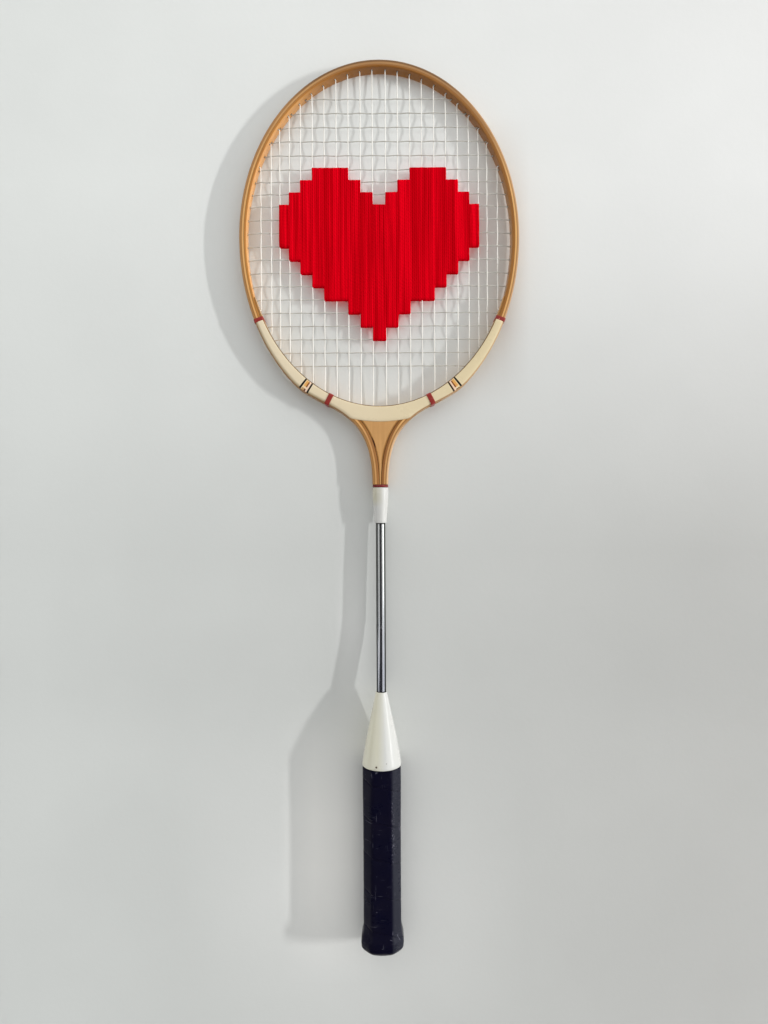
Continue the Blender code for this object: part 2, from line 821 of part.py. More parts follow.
def yarn_route(left, right, top, bottom):
    """One winding of yarn round a top and a bottom cross, between two mains."""
    middle = (left + right) / 2
    room = (right - left) / 2 - STRING_RADIUS - YARN_CLEARANCE - YARN_RADIUS
    loops = min(YARN_LOOPS, 1 + int(2 * room / YARN_LEAST_PITCH))
    pitch = 2 * room / (loops - 1)
    away = WEAVE + STRING_RADIUS + YARN_CLEARANCE + YARN_RADIUS
    front = BED_Y - away
    back = BED_Y + away
    over = (
        (front, top - YARN_SHOULDER),
        (BED_Y - YARN_CREST_HALF, top + YARN_CREST),
        (BED_Y + YARN_CREST_HALF, top + YARN_CREST),
        (back, top - YARN_SHOULDER),
    )
    under = (
        (back, bottom + YARN_SHOULDER),
        (BED_Y + YARN_CREST_HALF, bottom - YARN_CREST),
        (BED_Y - YARN_CREST_HALF, bottom - YARN_CREST),
        (front, bottom + YARN_SHOULDER),
    )
    points = [(middle - room, front, bottom + YARN_TAIL)]
    for loop in range(loops):
        x = middle - room + loop * pitch
        points += [(x, y, z) for y, z in over]
        if loop + 1 < loops:
            points += [(x + pitch, y, z) for y, z in under]
    points.append((middle + room, back, top - YARN_TAIL))
    return points


def add_heart(red_yarn):
    mains = main_positions()
    crosses = cross_heights()
    least = 1.0
    for number, (main, top, bottom) in enumerate(heart_columns(), start=1):
        route = yarn_route(
            mains[main], mains[main + 1], crosses[top - 1], crosses[bottom - 1]
        )
        tube(f"heart_yarn_{number:02d}", route, YARN_RADIUS, red_yarn)
        least = min(least, least_gap(route, YARN_RADIUS))
    print(f"least gap of a yarn winding to itself: {least * 1000:.2f} mm")


def add_shaft(steel, white, red):
    inner = SHAFT_RADIUS - SHAFT_WALL
    profile = (
        (SHAFT_RADIUS, SHAFT_TOP),
        (SHAFT_RADIUS, SHAFT_BOTTOM),
        (inner, SHAFT_BOTTOM),
        (inner, SHAFT_TOP),
    )
    add_part("shaft_tube", turned("shaft_tube", profile), steel)
    collar = (
        (COLLAR_RADIUS, COLLAR_TOP),
        (COLLAR_RADIUS, COLLAR_BOTTOM),
        (BORE_RADIUS, COLLAR_BOTTOM),
        (BORE_RADIUS, COLLAR_TOP),
    )
    add_part("neck_collar", turned("neck_collar", collar), red)
    ferrule = FERRULE_OUTSIDE + ((BORE_RADIUS, FERRULE_BOTTOM), (BORE_RADIUS, FERRULE_TOP))
    add_part("ferrule", turned("ferrule", ferrule), white)


def add_cone(white):
    """The hollow cone over the handle's top."""
    mesh = turned("handle_cone", CONE_OUTSIDE + CONE_INSIDE, CONE_SIDES)
    return add_part("handle_cone", mesh, white)


def octagon(half_width, half_depth, facet, z):
    """Corners of the handle's octagon at height z, seen from above, from the front right."""
    w, d, f = half_width, half_depth, facet
    corners = ((w - f, -d), (w, f - d), (w, d - f), (w - f, d))
    corners += ((f - w, d), (-w, d - f), (-w, f - d), (f - w, -d))
    return [Vector((x, y, z)) for x, y in corners]


def grip_swell(z):
    """How far the handle stands out from its straight part at height z."""
    if z >= FLARE_START:
        return 0.0
    return FLARE * min(1.0, (FLARE_START - z) / (FLARE_START - FLARE_END))


def grip_ring(z, inset):
    """The handle's octagon at height z, at a depth below the leather's outer face."""
    swell = grip_swell(z) - inset
    facet = GRIP_FACET - 0.586 * inset + 0.3 * grip_swell(z)
    return octagon(GRIP_HALF_WIDTH + swell, GRIP_HALF_DEPTH + swell, facet, z)


def add_handle_core(ash_wood):
    """Wooden core: a plug inside the cone, then the octagon under the leather."""
    under = LEATHER_THICKNESS + CLEARANCE
    rings = [
        octagon(*PLUG_TOP),
        octagon(*PLUG_BOTTOM),
        grip_ring(CORE_TOP, under + CORE_TOP_SETBACK),
        grip_ring(FLARE_START, under),
        grip_ring(FLARE_END, under),
        grip_ring(LEATHER_BOTTOM, under),
    ]
    core = add_part("handle_core", skin_rings("handle_core", rings), ash_wood)
    bore = solid_rod("core_bore_cutter", bore_profile(CORE_BORE_TOP, CORE_BORE_BOTTOM))
    cut(core, add_cutter("core_bore_cutter", bore))
    return core


def strip_heights(high, low):
    """Heights across the strip: its two edges, and two folds that follow the butt's flare."""
    share = (high - low) / 10
    upper_fold = min(max(FLARE_START, low + 2 * share), high - share)
    lower_fold = min(max(FLARE_END, low + share), upper_fold - share)
    return (high, upper_fold, lower_fold, low)


def add_leather(black_leather):
    """The grip's leather: one flat strip wound down the octagon, trimmed level at both ends."""
    top, bottom = GRIP_TOP, LEATHER_BOTTOM
    width = LEATHER_PITCH - LEATHER_SEAM_GAP
    turns_before = math.ceil((top - LEATHER_SEAM_HEIGHT) / LEATHER_PITCH) + 1
    seam = LEATHER_SEAM_HEIGHT + turns_before * LEATHER_PITCH
    rings = []
    step = 0
    while True:
        upper = seam - LEATHER_PITCH * step / 8
        lower = upper - width
        high = min(upper, top)
        low = max(lower, bottom)
        if upper < bottom + LEATHER_LEAST_WIDTH:
            break
        if lower < top - LEATHER_LEAST_WIDTH:
            corner = (step + 1) % 8
            heights = strip_heights(high, low)
            outside = [grip_ring(z, 0.0)[corner] for z in heights]
            inside = [grip_ring(z, LEATHER_THICKNESS)[corner] for z in heights]
            rings.append(outside + inside[::-1])
        step += 1
    add_part("leather_grip", skin_rings("leather_grip", rings), black_leather)
    turns = zip(rings, rings[8:])
    least = min((ring[3] - following[0]).length for ring, following in turns)
    print(f"least gap of the leather winding to itself: {least * 1000:.2f} mm")


def add_butt_cap(black_leather, brass):
    """The rounded leather cap under the butt and the tack that holds it."""
    rings = [grip_ring(z, inset) for z, inset in CAP_RINGS]
    cap = add_part("butt_cap", skin_rings("butt_cap", rings), black_leather)
    shank = TACK_SHANK_RADIUS + CLEARANCE
    head = TACK_HEAD_RADIUS + CLEARANCE
    hole = (
        (0.0, TACK_POINT + CLEARANCE),
        (shank, TACK_POINT + CLEARANCE),
        (shank, TACK_SEAT + CLEARANCE),
        (head, TACK_SEAT + CLEARANCE),
        (head, TACK_HOLE_BOTTOM),
        (0.0, TACK_HOLE_BOTTOM),
    )
    cutter = add_cutter("tack_hole_cutter", solid_rod("tack_hole_cutter", hole, TACK_SIDES))
    cut(cap, cutter)
    cut(bpy.data.objects["handle_core"], cutter)
    add_part("butt_tack", solid_rod("butt_tack", TACK_PROFILE, TACK_SIDES), brass)


def add_cone_brads(cone, core, steel):
    """Two brads through the cone's rim into the core, front and back."""
    hole = (
        (0.0, BRAD_HOLE_START),
        (BRAD_HOLE_RADIUS, BRAD_HOLE_START),
        (BRAD_HOLE_RADIUS, BRAD_HOLE_END),
        (0.0, BRAD_HOLE_END),
    )
    for name, side in (("cone_brad_front", 1), ("cone_brad_back", -1)):
        outward = Matrix.Rotation(side * math.radians(90), 4, "X")
        place = Matrix.Translation((-side * BRAD_OFFSET, 0, BRAD_HEIGHT)) @ outward
        body = solid_rod(name, BRAD_PROFILE, BRAD_SIDES)
        body.transform(place)
        add_part(name, body, steel)
        void = solid_rod(name + "_hole", hole, BRAD_SIDES)
        void.transform(place)
        cutter = add_cutter(name + "_hole_cutter", void)
        cut(cone, cutter)
        cut(core, cutter)


def build():
    for obj in list(bpy.data.objects):
        bpy.data.objects.remove(obj, do_unlink=True)
    racket = bpy.data.objects.new("racket", None)
    bpy.context.collection.objects.link(racket)

    tan_wood = finish("tan wood", (0.52, 0.27, 0.09), 0.35)
    brown_wood = finish("brown wood", (0.40, 0.17, 0.05), 0.40)
    pale_wood = finish("pale wood", (0.60, 0.34, 0.14), 0.40)
    ash_wood = finish("ash wood", (0.55, 0.38, 0.20), 0.60)
    cream = finish("cream overlay", (0.76, 0.66, 0.45), 0.35)
    red_tape = finish("red binding", (0.42, 0.03, 0.02), 0.40)
    string_finish = finish("string", (0.80, 0.79, 0.73), 0.35)
    red_yarn = finish("red yarn", (0.62, 0.004, 0.012), 0.90)
    white = finish("white plastic", (0.80, 0.79, 0.74), 0.30)
    black_leather = finish("black leather", (0.010, 0.011, 0.020), 0.45)
    steel = metal("bright steel", (0.60, 0.61, 0.63), 0.22)
    brad_steel = metal("tarnished steel", (0.20, 0.19, 0.18), 0.45)
    brass = metal("brass", (0.60, 0.45, 0.20), 0.35)

    stations = build_bow(tan_wood, brown_wood, pale_wood)
    outline = overlay_outline(stations)
    face = HEAD_DEPTH / 2 + CLEARANCE
    for name, side in (("throat_overlay_front", -1), ("throat_overlay_back", 1)):
        near, far = sorted((side * face, side * (face + OVERLAY_THICKNESS)))
        add_part(name, plate(name, outline, near, far), cream)
    add_bindings(stations, red_tape)
    add_strings(stations, string_finish)
    add_heart(red_yarn)
    add_shaft(steel, white, red_tape)
    cone = add_cone(white)
    core = add_handle_core(ash_wood)
    add_leather(black_leather)
    add_butt_cap(black_leather, brass)
    add_cone_brads(cone, core, brad_steel)


build()
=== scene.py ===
import math
import random

import bmesh
import bpy
from mathutils import Matrix, Vector, noise


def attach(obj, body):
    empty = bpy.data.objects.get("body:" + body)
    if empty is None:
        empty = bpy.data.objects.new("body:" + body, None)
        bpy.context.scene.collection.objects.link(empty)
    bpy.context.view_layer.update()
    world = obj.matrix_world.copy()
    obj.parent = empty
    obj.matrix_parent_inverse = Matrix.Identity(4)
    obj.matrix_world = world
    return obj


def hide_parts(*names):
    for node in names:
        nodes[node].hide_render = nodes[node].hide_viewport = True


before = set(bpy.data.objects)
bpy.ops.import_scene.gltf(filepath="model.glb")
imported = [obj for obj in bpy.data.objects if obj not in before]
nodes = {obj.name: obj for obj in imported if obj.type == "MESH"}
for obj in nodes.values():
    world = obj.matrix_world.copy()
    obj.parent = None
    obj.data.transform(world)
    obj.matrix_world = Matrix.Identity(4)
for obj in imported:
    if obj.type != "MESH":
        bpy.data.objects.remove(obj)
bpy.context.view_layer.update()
scene = bpy.context.scene
scene.view_settings.view_transform = "Standard"
print("frame loaded:", len(nodes), "nodes")

pen = {"tree": None}  # the node tree that the helpers draw in


def isSocket(value):
    return isinstance(value, bpy.types.NodeSocket)


def wire(source, socket):
    pen["tree"].links.new(source, socket)


def addNode(kind, inputs=None, **settings):
    node = pen["tree"].nodes.new(kind)
    for key, value in settings.items():
        setattr(node, key, value)
    for key, value in (inputs or {}).items():
        if isSocket(value):
            wire(value, node.inputs[key])
        else:
            node.inputs[key].default_value = value
    return node


def maths(operation, *values, clamp=False):
    return addNode("ShaderNodeMath", dict(enumerate(values)), operation=operation, use_clamp=clamp).outputs[0]


def plus(first, second, clamp=False):
    return maths("ADD", first, second, clamp=clamp)


def minus(first, second):
    return maths("SUBTRACT", first, second)


def times(*values):
    # product of several masks
    total = values[0]
    for value in values[1:]:
        total = maths("MULTIPLY", total, value)
    return total


def remap(value, low, high, newLow=0.0, newHigh=1.0):
    inputs = {"Value": value, "From Min": low, "From Max": high, "To Min": newLow, "To Max": newHigh}
    return addNode("ShaderNodeMapRange", inputs).outputs["Result"]


def band(value, start, end, soft):
    # 1 between start and end, with soft sides
    return times(remap(value, start - soft, start + soft), remap(value, end + soft, end - soft))


def mixColor(factor, first, second, blend="MIX"):
    first, second = (value if isSocket(value) else (*value, 1.0) for value in (first, second))
    return addNode("ShaderNodeMix", {0: factor, 6: first, 7: second}, data_type="RGBA", blend_type=blend).outputs[2]


def tinted(color, tint):
    return mixColor(1.0, color, tint, "MULTIPLY")


def colorBands(value, stops):
    # a colour ramp; each stop is the value where its colour stands, and the colour
    low, high = stops[0][0], stops[-1][0]
    ramp = addNode("ShaderNodeValToRGB", {"Fac": remap(value, low, high)})
    elements = ramp.color_ramp.elements
    for place, _ in stops[1:-1]:
        elements.new((place - low) / (high - low))
    for element, (_, color) in zip(elements, stops):
        element.color = (*color, 1.0)
    return ramp.outputs["Color"]


def noiseTexture(vector, scale, detail=3.0, roughness=0.5):
    inputs = {"Vector": vector, "Scale": scale, "Detail": detail, "Roughness": roughness}
    return addNode("ShaderNodeTexNoise", inputs).outputs["Fac"]


def mapParts():
    # the grain map: length along the piece and distance across it
    return split(addNode("ShaderNodeUVMap", uv_map="grainMap").outputs["UV"])


def attribute(name, output):
    return addNode("ShaderNodeAttribute", attribute_name=name).outputs[output]


def objectPlace(scale=(1, 1, 1), turn=(0, 0, 0), shift=(0, 0, 0)):
    place = addNode("ShaderNodeTexCoord").outputs["Object"]
    inputs = {"Vector": place, "Scale": scale, "Rotation": turn, "Location": shift}
    return addNode("ShaderNodeMapping", inputs).outputs["Vector"]


def split(vector):
    return addNode("ShaderNodeSeparateXYZ", {0: vector}).outputs


def objectParts():
    return split(objectPlace())


def smudged(marks, clean, dirty):
    # roughness between clean and smudged
    return remap(marks["Smudge"], 0, 1, clean, dirty)


def soiled(tone, marks, share, dirt, speck):
    tone = mixColor(times(marks["Smudge"], share), tone, dirt)
    return mixColor(marks["Speck"], tone, speck)


def newGroup(name, inputs, outputs):
    # a colour is a tuple with its alpha, and every other input is a number
    group = bpy.data.node_groups.new(name, "ShaderNodeTree")
    for key, value in inputs.items():
        kind = "NodeSocketColor" if isinstance(value, tuple) else "NodeSocketFloat"
        group.interface.new_socket(name=key, in_out="INPUT", socket_type=kind).default_value = value
    for key in outputs:
        kind = "NodeSocketColor" if key == "Color" else "NodeSocketFloat"
        group.interface.new_socket(name=key, in_out="OUTPUT", socket_type=kind)
    pen["tree"] = group
    return group, addNode("NodeGroupInput").outputs, addNode("NodeGroupOutput").inputs


def useGroup(group, **values):
    return addNode("ShaderNodeGroup", values, node_tree=group).outputs


def newMaterial(name, color, roughness, metallic=0.0, **plain):
    material = bpy.data.materials.new(name)
    material.use_nodes = True
    pen["tree"] = material.node_tree
    inputs = pen["tree"].nodes["Principled BSDF"].inputs
    inputs["Base Color"].default_value = (*color, 1.0)
    inputs["Roughness"].default_value = roughness
    inputs["Metallic"].default_value = metallic
    for key, value in plain.items():
        inputs[key.replace("_", " ")].default_value = value
    return material


def dress(color, rough=None, height=None, strength=0.0, distance=0.0):
    # wires colour, roughness and bump into the current material's shader
    inputs = pen["tree"].nodes["Principled BSDF"].inputs
    wire(color, inputs["Base Color"])
    if rough is not None:
        wire(rough, inputs["Roughness"])
    if height is not None:
        bump = addNode("ShaderNodeBump", {"Height": height, "Strength": strength, "Distance": distance})
        wire(bump.outputs["Normal"], inputs["Normal"])


def buildGrainGroup():
    # grain that follows the bend: Along and Across in metres, depth from the object's Y
    inputs = {
        "Along": 0.0, "Across": 0.0, "Light": (0.6, 0.4, 0.2, 1), "Dark": (0.3, 0.15, 0.05, 1),
        "Streaks": 0.6, "Pores": 0.5,
    }
    group, given, out = newGroup("woodGrain", inputs, ("Color", "Height", "Roughness"))
    depth = split(addNode("ShaderNodeTexCoord").outputs["Object"])["Y"]

    def stretched(*scales):
        lengths = (given["Along"], given["Across"], depth)
        inputs = {axis: times(length, scale) for axis, length, scale in zip("XYZ", lengths, scales)}
        return addNode("ShaderNodeCombineXYZ", inputs).outputs[0]

    broad = noiseTexture(stretched(9, 420, 160), 1.0, 2.0)
    fine = noiseTexture(stretched(45, 2600, 1400), 1.0, 4.0, 0.6)
    pores = remap(noiseTexture(stretched(260, 5200, 4200), 1.0, 1.0), 0.66, 0.74)
    streak = times(remap(plus(times(broad, 0.6), times(fine, 0.4)), 0.36, 0.64), given["Streaks"])
    poreShade = times(pores, given["Pores"])
    color = mixColor(streak, given["Light"], given["Dark"])
    wire(mixColor(poreShade, color, mixColor(0.55, given["Dark"], (0.05, 0.02, 0.01))), out["Color"])
    wire(minus(times(fine, 0.5), poreShade), out["Height"])
    wire(remap(fine, 0.3, 0.7, 0.26, 0.42), out["Roughness"])
    return group


def buildWearGroup():
    # handling marks on any finish: fine scratches, smudges and small specks, each a 0 to 1 mask
    inputs = {"Scratches": 0.5, "Smudges": 0.5, "Specks": 0.5}
    group, given, out = newGroup("handlingMarks", inputs, ("Scratch", "Smudge", "Speck"))
    directions = (
        ((0.3, 0.2, 0.9), (90, 90, 2600)),
        ((1.1, 0.6, 0.1), (2400, 120, 110)),
        ((0.2, 1.3, 0.5), (140, 2200, 130)),
    )
    total = 0.0
    for turn, scale in directions:
        total = maths("MAXIMUM", total, remap(noiseTexture(objectPlace(scale, turn), 1.0, 1.0), 0.735, 0.76))
    paintedLightPatches = noiseTexture(objectPlace(), 70, 2.0)
    wire(times(total, remap(paintedLightPatches, 0.45, 0.6), given["Scratches"]), out["Scratch"])
    smudge = remap(noiseTexture(objectPlace(shift=(3, 1, 2)), 55, 4.0, 0.6), 0.42, 0.68)
    wire(times(smudge, given["Smudges"]), out["Smudge"])
    cells = addNode("ShaderNodeTexVoronoi", {"Vector": objectPlace(), "Scale": 260.0, "Randomness": 1.0}).outputs
    near = remap(cells["Distance"], 0.05, 0.11, 1.0, 0.0)
    draw = addNode("ShaderNodeSeparateColor", {0: cells["Color"]}).outputs[0]
    wire(times(near, remap(draw, 0.90, 0.93), given["Specks"]), out["Speck"])
    return group


grainGroup, wearGroup = buildGrainGroup(), buildWearGroup()
print("shared shader groups ready")


def wear(scratches, smudges, specks):
    return useGroup(wearGroup, Scratches=scratches, Smudges=smudges, Specks=specks)


def register(piece, replaced=()):
    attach(piece, "root")
    if replaced:
        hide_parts(*replaced)
    return piece


def addObject(name, data):
    item = bpy.data.objects.new(name, data)
    scene.collection.objects.link(item)
    return item


def meshObject(name, bm, material=None):
    mesh = bpy.data.meshes.new(name)
    bm.to_mesh(mesh)
    bm.free()
    if material:
        mesh.shade_smooth()
        mesh.materials.append(material)
    return addObject(name, mesh)


def finishMesh(name, bm, material, replaced=(), smoothAngle=35, weld=1e-6):
    if weld:
        bmesh.ops.remove_doubles(bm, verts=bm.verts, dist=weld)
    bmesh.ops.recalc_face_normals(bm, faces=bm.faces)
    piece = meshObject(name, bm, material)
    piece.data.set_sharp_from_angle(angle=math.radians(smoothAngle))
    return register(piece, replaced)


def eased(share):
    return share * share * (3 - 2 * share)


def placed(line, height):
    # a line of (radius, rise) at its height
    return [(radius, height + rise) for radius, rise in line]


def madeOf(made, kind):
    return [item for item in made["geom"] if isinstance(item, kind)]


def pushFace(bm, face):
    made = bmesh.ops.extrude_face_region(bm, geom=[face] + list(face.edges))
    return madeOf(made, bmesh.types.BMFace)[0]


def pushEdges(bm, edges):
    return madeOf(bmesh.ops.extrude_edge_only(bm, edges=edges), bmesh.types.BMEdge)


def sweptMesh(rings, marks):
    # extrudes one face from ring to ring; marks holds (along, across) for each corner of each ring
    bm = bmesh.new()
    corner = bm.verts.layers.int.new("corner")
    along = bm.verts.layers.float.new("along")
    across = bm.verts.layers.float.new("across")
    face = bm.faces.new([bm.verts.new(point) for point in rings[0]])
    for index, vert in enumerate(face.verts):
        vert[corner] = index
    for ring, ringMarks in zip(rings, marks):
        if ring is not rings[0]:
            face = pushFace(bm, face)
        for vert in face.verts:
            vert.co = ring[vert[corner]]
            vert[along], vert[across] = ringMarks[vert[corner]]
    writeGrainMap(bm, along, across)
    return bm


def writeGrainMap(bm, along, across):
    grainMap = bm.loops.layers.uv.new("grainMap")
    for face in bm.faces:
        for loop in face.loops:
            loop[grainMap].uv = (loop.vert[along], loop.vert[across])


def spun(profile, steps, closed):
    # turns a line of (radius, z) round the Z axis; a closed line makes a ring
    bm = bmesh.new()
    line = [bm.verts.new((radius, 0, z)) for radius, z in profile]
    edges = [bm.edges.new(pair) for pair in zip(line, line[1:])]
    if closed:
        edges.append(bm.edges.new((line[-1], line[0])))
    bmesh.ops.spin(
        bm, geom=line + edges, cent=(0, 0, 0), axis=(0, 0, 1), angle=2 * math.pi, steps=steps, use_merge=True,
    )
    bmesh.ops.remove_doubles(bm, verts=bm.verts, dist=1e-6)
    bmesh.ops.recalc_face_normals(bm, faces=bm.faces)
    return bm


def bevelEdges(bm, edges, offset, segments):
    bmesh.ops.bevel(
        bm, geom=edges, offset=offset, segments=segments, affect="EDGES", profile=0.5, material=-1,
        clamp_overlap=True,
    )


def lathe(name, profile, material, replaced, steps=64, bevel=0.00012, smoothAngle=35):
    bm = spun(profile, steps, True)
    sharp = [edge for edge in bm.edges if edge.calc_face_angle(0) > math.radians(28)]
    bevelEdges(bm, sharp, bevel, 2)
    return finishMesh(name, bm, material, replaced, smoothAngle)


view = {"place": (0.0026, -0.5005, -0.3296), "lens": 23.55, "roll": math.radians(-0.28), "near": 0.01}


def buildCamera():
    data = bpy.data.cameras.new("camera")
    data.lens, data.clip_start = view["lens"], view["near"]
    scene.camera = addObject("camera", data)
    turn = Matrix.Rotation(math.radians(90), 4, "X") @ Matrix.Rotation(view["roll"], 4, "Z")
    scene.camera.matrix_world = Matrix.Translation(view["place"]) @ turn


# the wall's line gives (z, y): it touches the head's top and the cone's rim
stage = {
    "wallLine": (
        (0.0, 0.0054), (-0.128, 0.0077), (-0.270, 0.0066), (-0.400, 0.0086), (-0.505, 0.0150), (-0.700, 0.0153),
    ),
    "middle": (0, 0, -0.33), "wallSize": (4.0, 4.0), "wallSteps": 200, "wallReach": 0.26, "wallFade": (-0.36, -0.08),
    # painted light: the wall's tone is lighter high up, and changes from left to right
    "wallHigh": ((0.735, 0.757, 0.735), (0.780, 0.787, 0.772)),
    "wallLow": ((0.620, 0.640, 0.620), (0.500, 0.503, 0.485)),
    # painted light and shade on the wall, lighter round the grip and over its shadow and the shaft's, darker in the
    # right bow's shadow inside the head: ends and softness across and in height, share, colour
    "paintedLightPatches": (
        ((-0.10, 0.05, 0.06), (-0.69, -0.55, 0.06), 0.34, (0.92, 0.92, 0.90)),
        ((-0.066, -0.010, 0.014), (-0.648, -0.52, 0.045), 0.42, (0.95, 0.94, 0.89)),
        ((-0.027, -0.016, 0.009), (-0.46, -0.37, 0.040), 0.30, (0.92, 0.92, 0.90)),
        ((0.070, 0.104, 0.010), (-0.22, -0.06, 0.03), 0.35, (0.36, 0.31, 0.26)),
    ),
    "floorPlace": (0, 0, -0.7700), "floorSize": (6.0, 6.0), "floorColor": (0.72, 0.72, 0.71), "floorBounce": 0.36,
    # dark flags in front, to the left and over the floor, which only reflections show: place, facing, size
    "flags": (
        ((-0.02, -0.62, -0.26), (0, -1, 0), (0.72, 1.02)), ((-1.3, -0.1, -0.33), (1, 0, 0), (1.1, 0.86)),
        ((-0.15, -0.46, -0.7685), (0, 0, 1), (0.90, 0.90)),
    ),
    "flagColor": (0.03, 0.03, 0.035),
    # lamps: place, size, power; the narrow window gives the shadows, the wide weak glint shows in gloss alone
    "window": ((4.6, -1.97, -0.25), (0.115, 0.75), 145),
    "glint": ((2.77, -1.16, -0.28), (0.50, 1.6), 8.0),
    "back": ((0.9, 1.3, 0.35), (1.4, 1.4), 11),
    "skyHeights": (0.90, 1.40), "skySides": (0.80, 1.10), "skyReach": 0.8,
}


def stagePlane(name, material, place, facing, size, steps=1):
    bm = bmesh.new()
    bmesh.ops.create_grid(bm, x_segments=1, y_segments=steps, size=0.5)
    bmesh.ops.scale(bm, vec=(size[0], size[1], 1), verts=bm.verts)
    turn = Vector(facing).to_track_quat("Z", "Y").to_matrix().to_4x4()
    bmesh.ops.transform(bm, matrix=Matrix.Translation(place) @ turn, verts=bm.verts)
    if steps > 1:
        for vert in bm.verts:
            vert.co.y += wallDepth(vert.co.z)
    plane = meshObject(name, bm, material)
    return plane


def wallDepth(z):
    line = stage["wallLine"]
    for (high, before), (low, after) in zip(line, line[1:]):
        if low <= z <= high:
            return before + (after - before) * eased((high - z) / (high - low))
    return line[0][1] if z > line[0][0] else line[-1][1]


def seenOnly():
    # 1 for rays that show a surface, 0 for those that only carry light
    path = addNode("ShaderNodeLightPath").outputs
    seen = plus(path["Is Camera Ray"], path["Is Glossy Ray"])
    return plus(seen, path["Is Transmission Ray"], clamp=True)


def paintMaterial(name, high, low, reach=1.0, fade=(-1.0, 1.0), paintedLightPatches=(), bounce=None):
    # matt paint whose tone changes slowly from left to right and from low to high; on the wall this is painted light,
    # lighter high up
    material = newMaterial(name, high[0], 0.9)
    place = objectParts()
    across, rise = remap(place["X"], -reach, reach), remap(place["Z"], *fade)
    tone = mixColor(rise, mixColor(across, *low), mixColor(across, *high))
    clouds = remap(noiseTexture(objectPlace(), 9, 3.0), 0.35, 0.65, 0.0, 0.03)
    tone = mixColor(clouds, tone, (0, 0, 0))
    # painted light and shade: patches lighter or darker than the wall's tone
    for width, height, share, patch in paintedLightPatches:
        tone = mixColor(times(band(place["X"], *width), band(place["Z"], *height), share), tone, patch)
    if bounce:
        # pale to look at, less so in the light that it sends up
        tone = mixColor(minus(1.0, seenOnly()), tone, (bounce,) * 3)
    dress(tone, None, noiseTexture(objectPlace(), 260, 3.0), 0.12, 0.0006)
    return material


def openFromBehind(shown):
    # makes the current material clear from behind, and clear where shown is 0
    back = addNode("ShaderNodeNewGeometry").outputs["Backfacing"]
    painted = pen["tree"].nodes["Principled BSDF"].outputs[0]
    inputs = {0: times(minus(1.0, back), shown), 1: addNode("ShaderNodeBsdfTransparent").outputs[0], 2: painted}
    mixed = addNode("ShaderNodeMixShader", inputs).outputs[0]
    wire(mixed, pen["tree"].nodes["Material Output"].inputs["Surface"])


def areaLight(name, place, size, power):
    data = bpy.data.lights.new(name, "AREA")
    data.shape, data.energy = "RECTANGLE", power
    data.size, data.size_y = size
    lamp = addObject(name, data)
    lamp.location = place
    lamp.rotation_euler = (Vector(stage["middle"]) - Vector(place)).to_track_quat("-Z", "Y").to_euler()
    return lamp


def buildStage():
    wallTones = (stage["wallHigh"], stage["wallLow"], stage["wallReach"], stage["wallFade"], stage["paintedLightPatches"])
    wallPaint = paintMaterial("wallPaint", *wallTones)
    openFromBehind(seenOnly())  # only looked at, open to light
    stagePlane("backdrop", wallPaint, stage["middle"], (0, -1, 0), stage["wallSize"], stage["wallSteps"])
    tones = (stage["floorColor"],) * 2
    floorPaint = paintMaterial("floorPaint", tones, tones, bounce=stage["floorBounce"])
    openFromBehind(1.0)
    stagePlane("floor", floorPaint, stage["floorPlace"], (0, 0, 1), stage["floorSize"])
    tones = (stage["flagColor"],) * 2
    flagPaint = paintMaterial("flagCloth", tones, tones)
    for number, (place, facing, size) in enumerate(stage["flags"]):
        flag = stagePlane(f"flag{number}", flagPaint, place, facing, size)
        flag.visible_camera = flag.visible_diffuse = flag.visible_shadow = flag.visible_transmission = False
    areaLight("windowLight", *stage["window"]).visible_glossy = False
    areaLight("windowGlint", *stage["glint"]).visible_diffuse = False
    areaLight("backLight", *stage["back"])
    world = bpy.data.worlds.new("studio")
    scene.world = world
    world.use_nodes = True
    pen["tree"] = world.node_tree
    sky = split(addNode("ShaderNodeTexCoord").outputs["Generated"])
    level = remap(sky["Z"], 0.0, 1.0, *stage["skyHeights"])
    level = times(level, remap(sky["X"], -stage["skyReach"], stage["skyReach"], *stage["skySides"]))
    background = world.node_tree.nodes["Background"].inputs
    background["Color"].default_value = (1, 1, 1, 1)
    wire(level, background["Strength"])


buildCamera()
buildStage()
print("camera, stage and light ready")

# the line of the bent head and its oval opening
head = {
    "halfWidth": 0.1038, "rise": 0.1311, "drop": 0.1380, "widest": -0.1255, "halfDepth": 0.0050,
    "shoulderHalfWidth": 0.0650, "shoulderReach": 0.0310,
    "neckReach": 0.0613, "neckHalfWidth": 0.00585, "neckBottom": -0.3092,
    "riseSteps": 58, "dropSteps": 34, "shoulderSteps": 48,
}
oval = {"halfWidth": 0.0984, "halfHeight": 0.1255, "tolerance": 0.004}


def headStation(angle):
    # point and outward normal (x, z) of the outer line, by the angle from the top
    halfHeight = head["rise"] if math.cos(angle) > 0 else head["drop"]
    x, rise = head["halfWidth"] * math.sin(angle), halfHeight * math.cos(angle)
    normal = Vector((x / head["halfWidth"] ** 2, rise / halfHeight ** 2)).normalized()
    return Vector((x, head["widest"] + rise)), normal


lastHeadAngle = math.pi - math.asin(head["shoulderHalfWidth"] / head["halfWidth"])


def shoulderStation(u):
    start, normal = headStation(lastHeadAngle)
    end = Vector((head["neckHalfWidth"], head["neckBottom"]))
    first = start + head["shoulderReach"] * Vector((normal.y, -normal.x))
    second = end + Vector((0, head["neckReach"]))
    v = 1 - u
    point = v ** 3 * start + 3 * v * v * u * first + 3 * v * u * u * second + u ** 3 * end
    slope = v * v * (first - start) + 2 * v * u * (second - first) + u * u * (end - second)
    return point, Vector((-slope.y, slope.x)).normalized()


def rightLine():
    quarter = math.pi / 2
    line = [headStation(quarter * i / head["riseSteps"]) for i in range(head["riseSteps"])]
    drop = head["dropSteps"]
    line += [headStation(quarter + (lastHeadAngle - quarter) * i / drop) for i in range(drop)]
    line += [shoulderStation(i / head["shoulderSteps"]) for i in range(head["shoulderSteps"] + 1)]
    return line


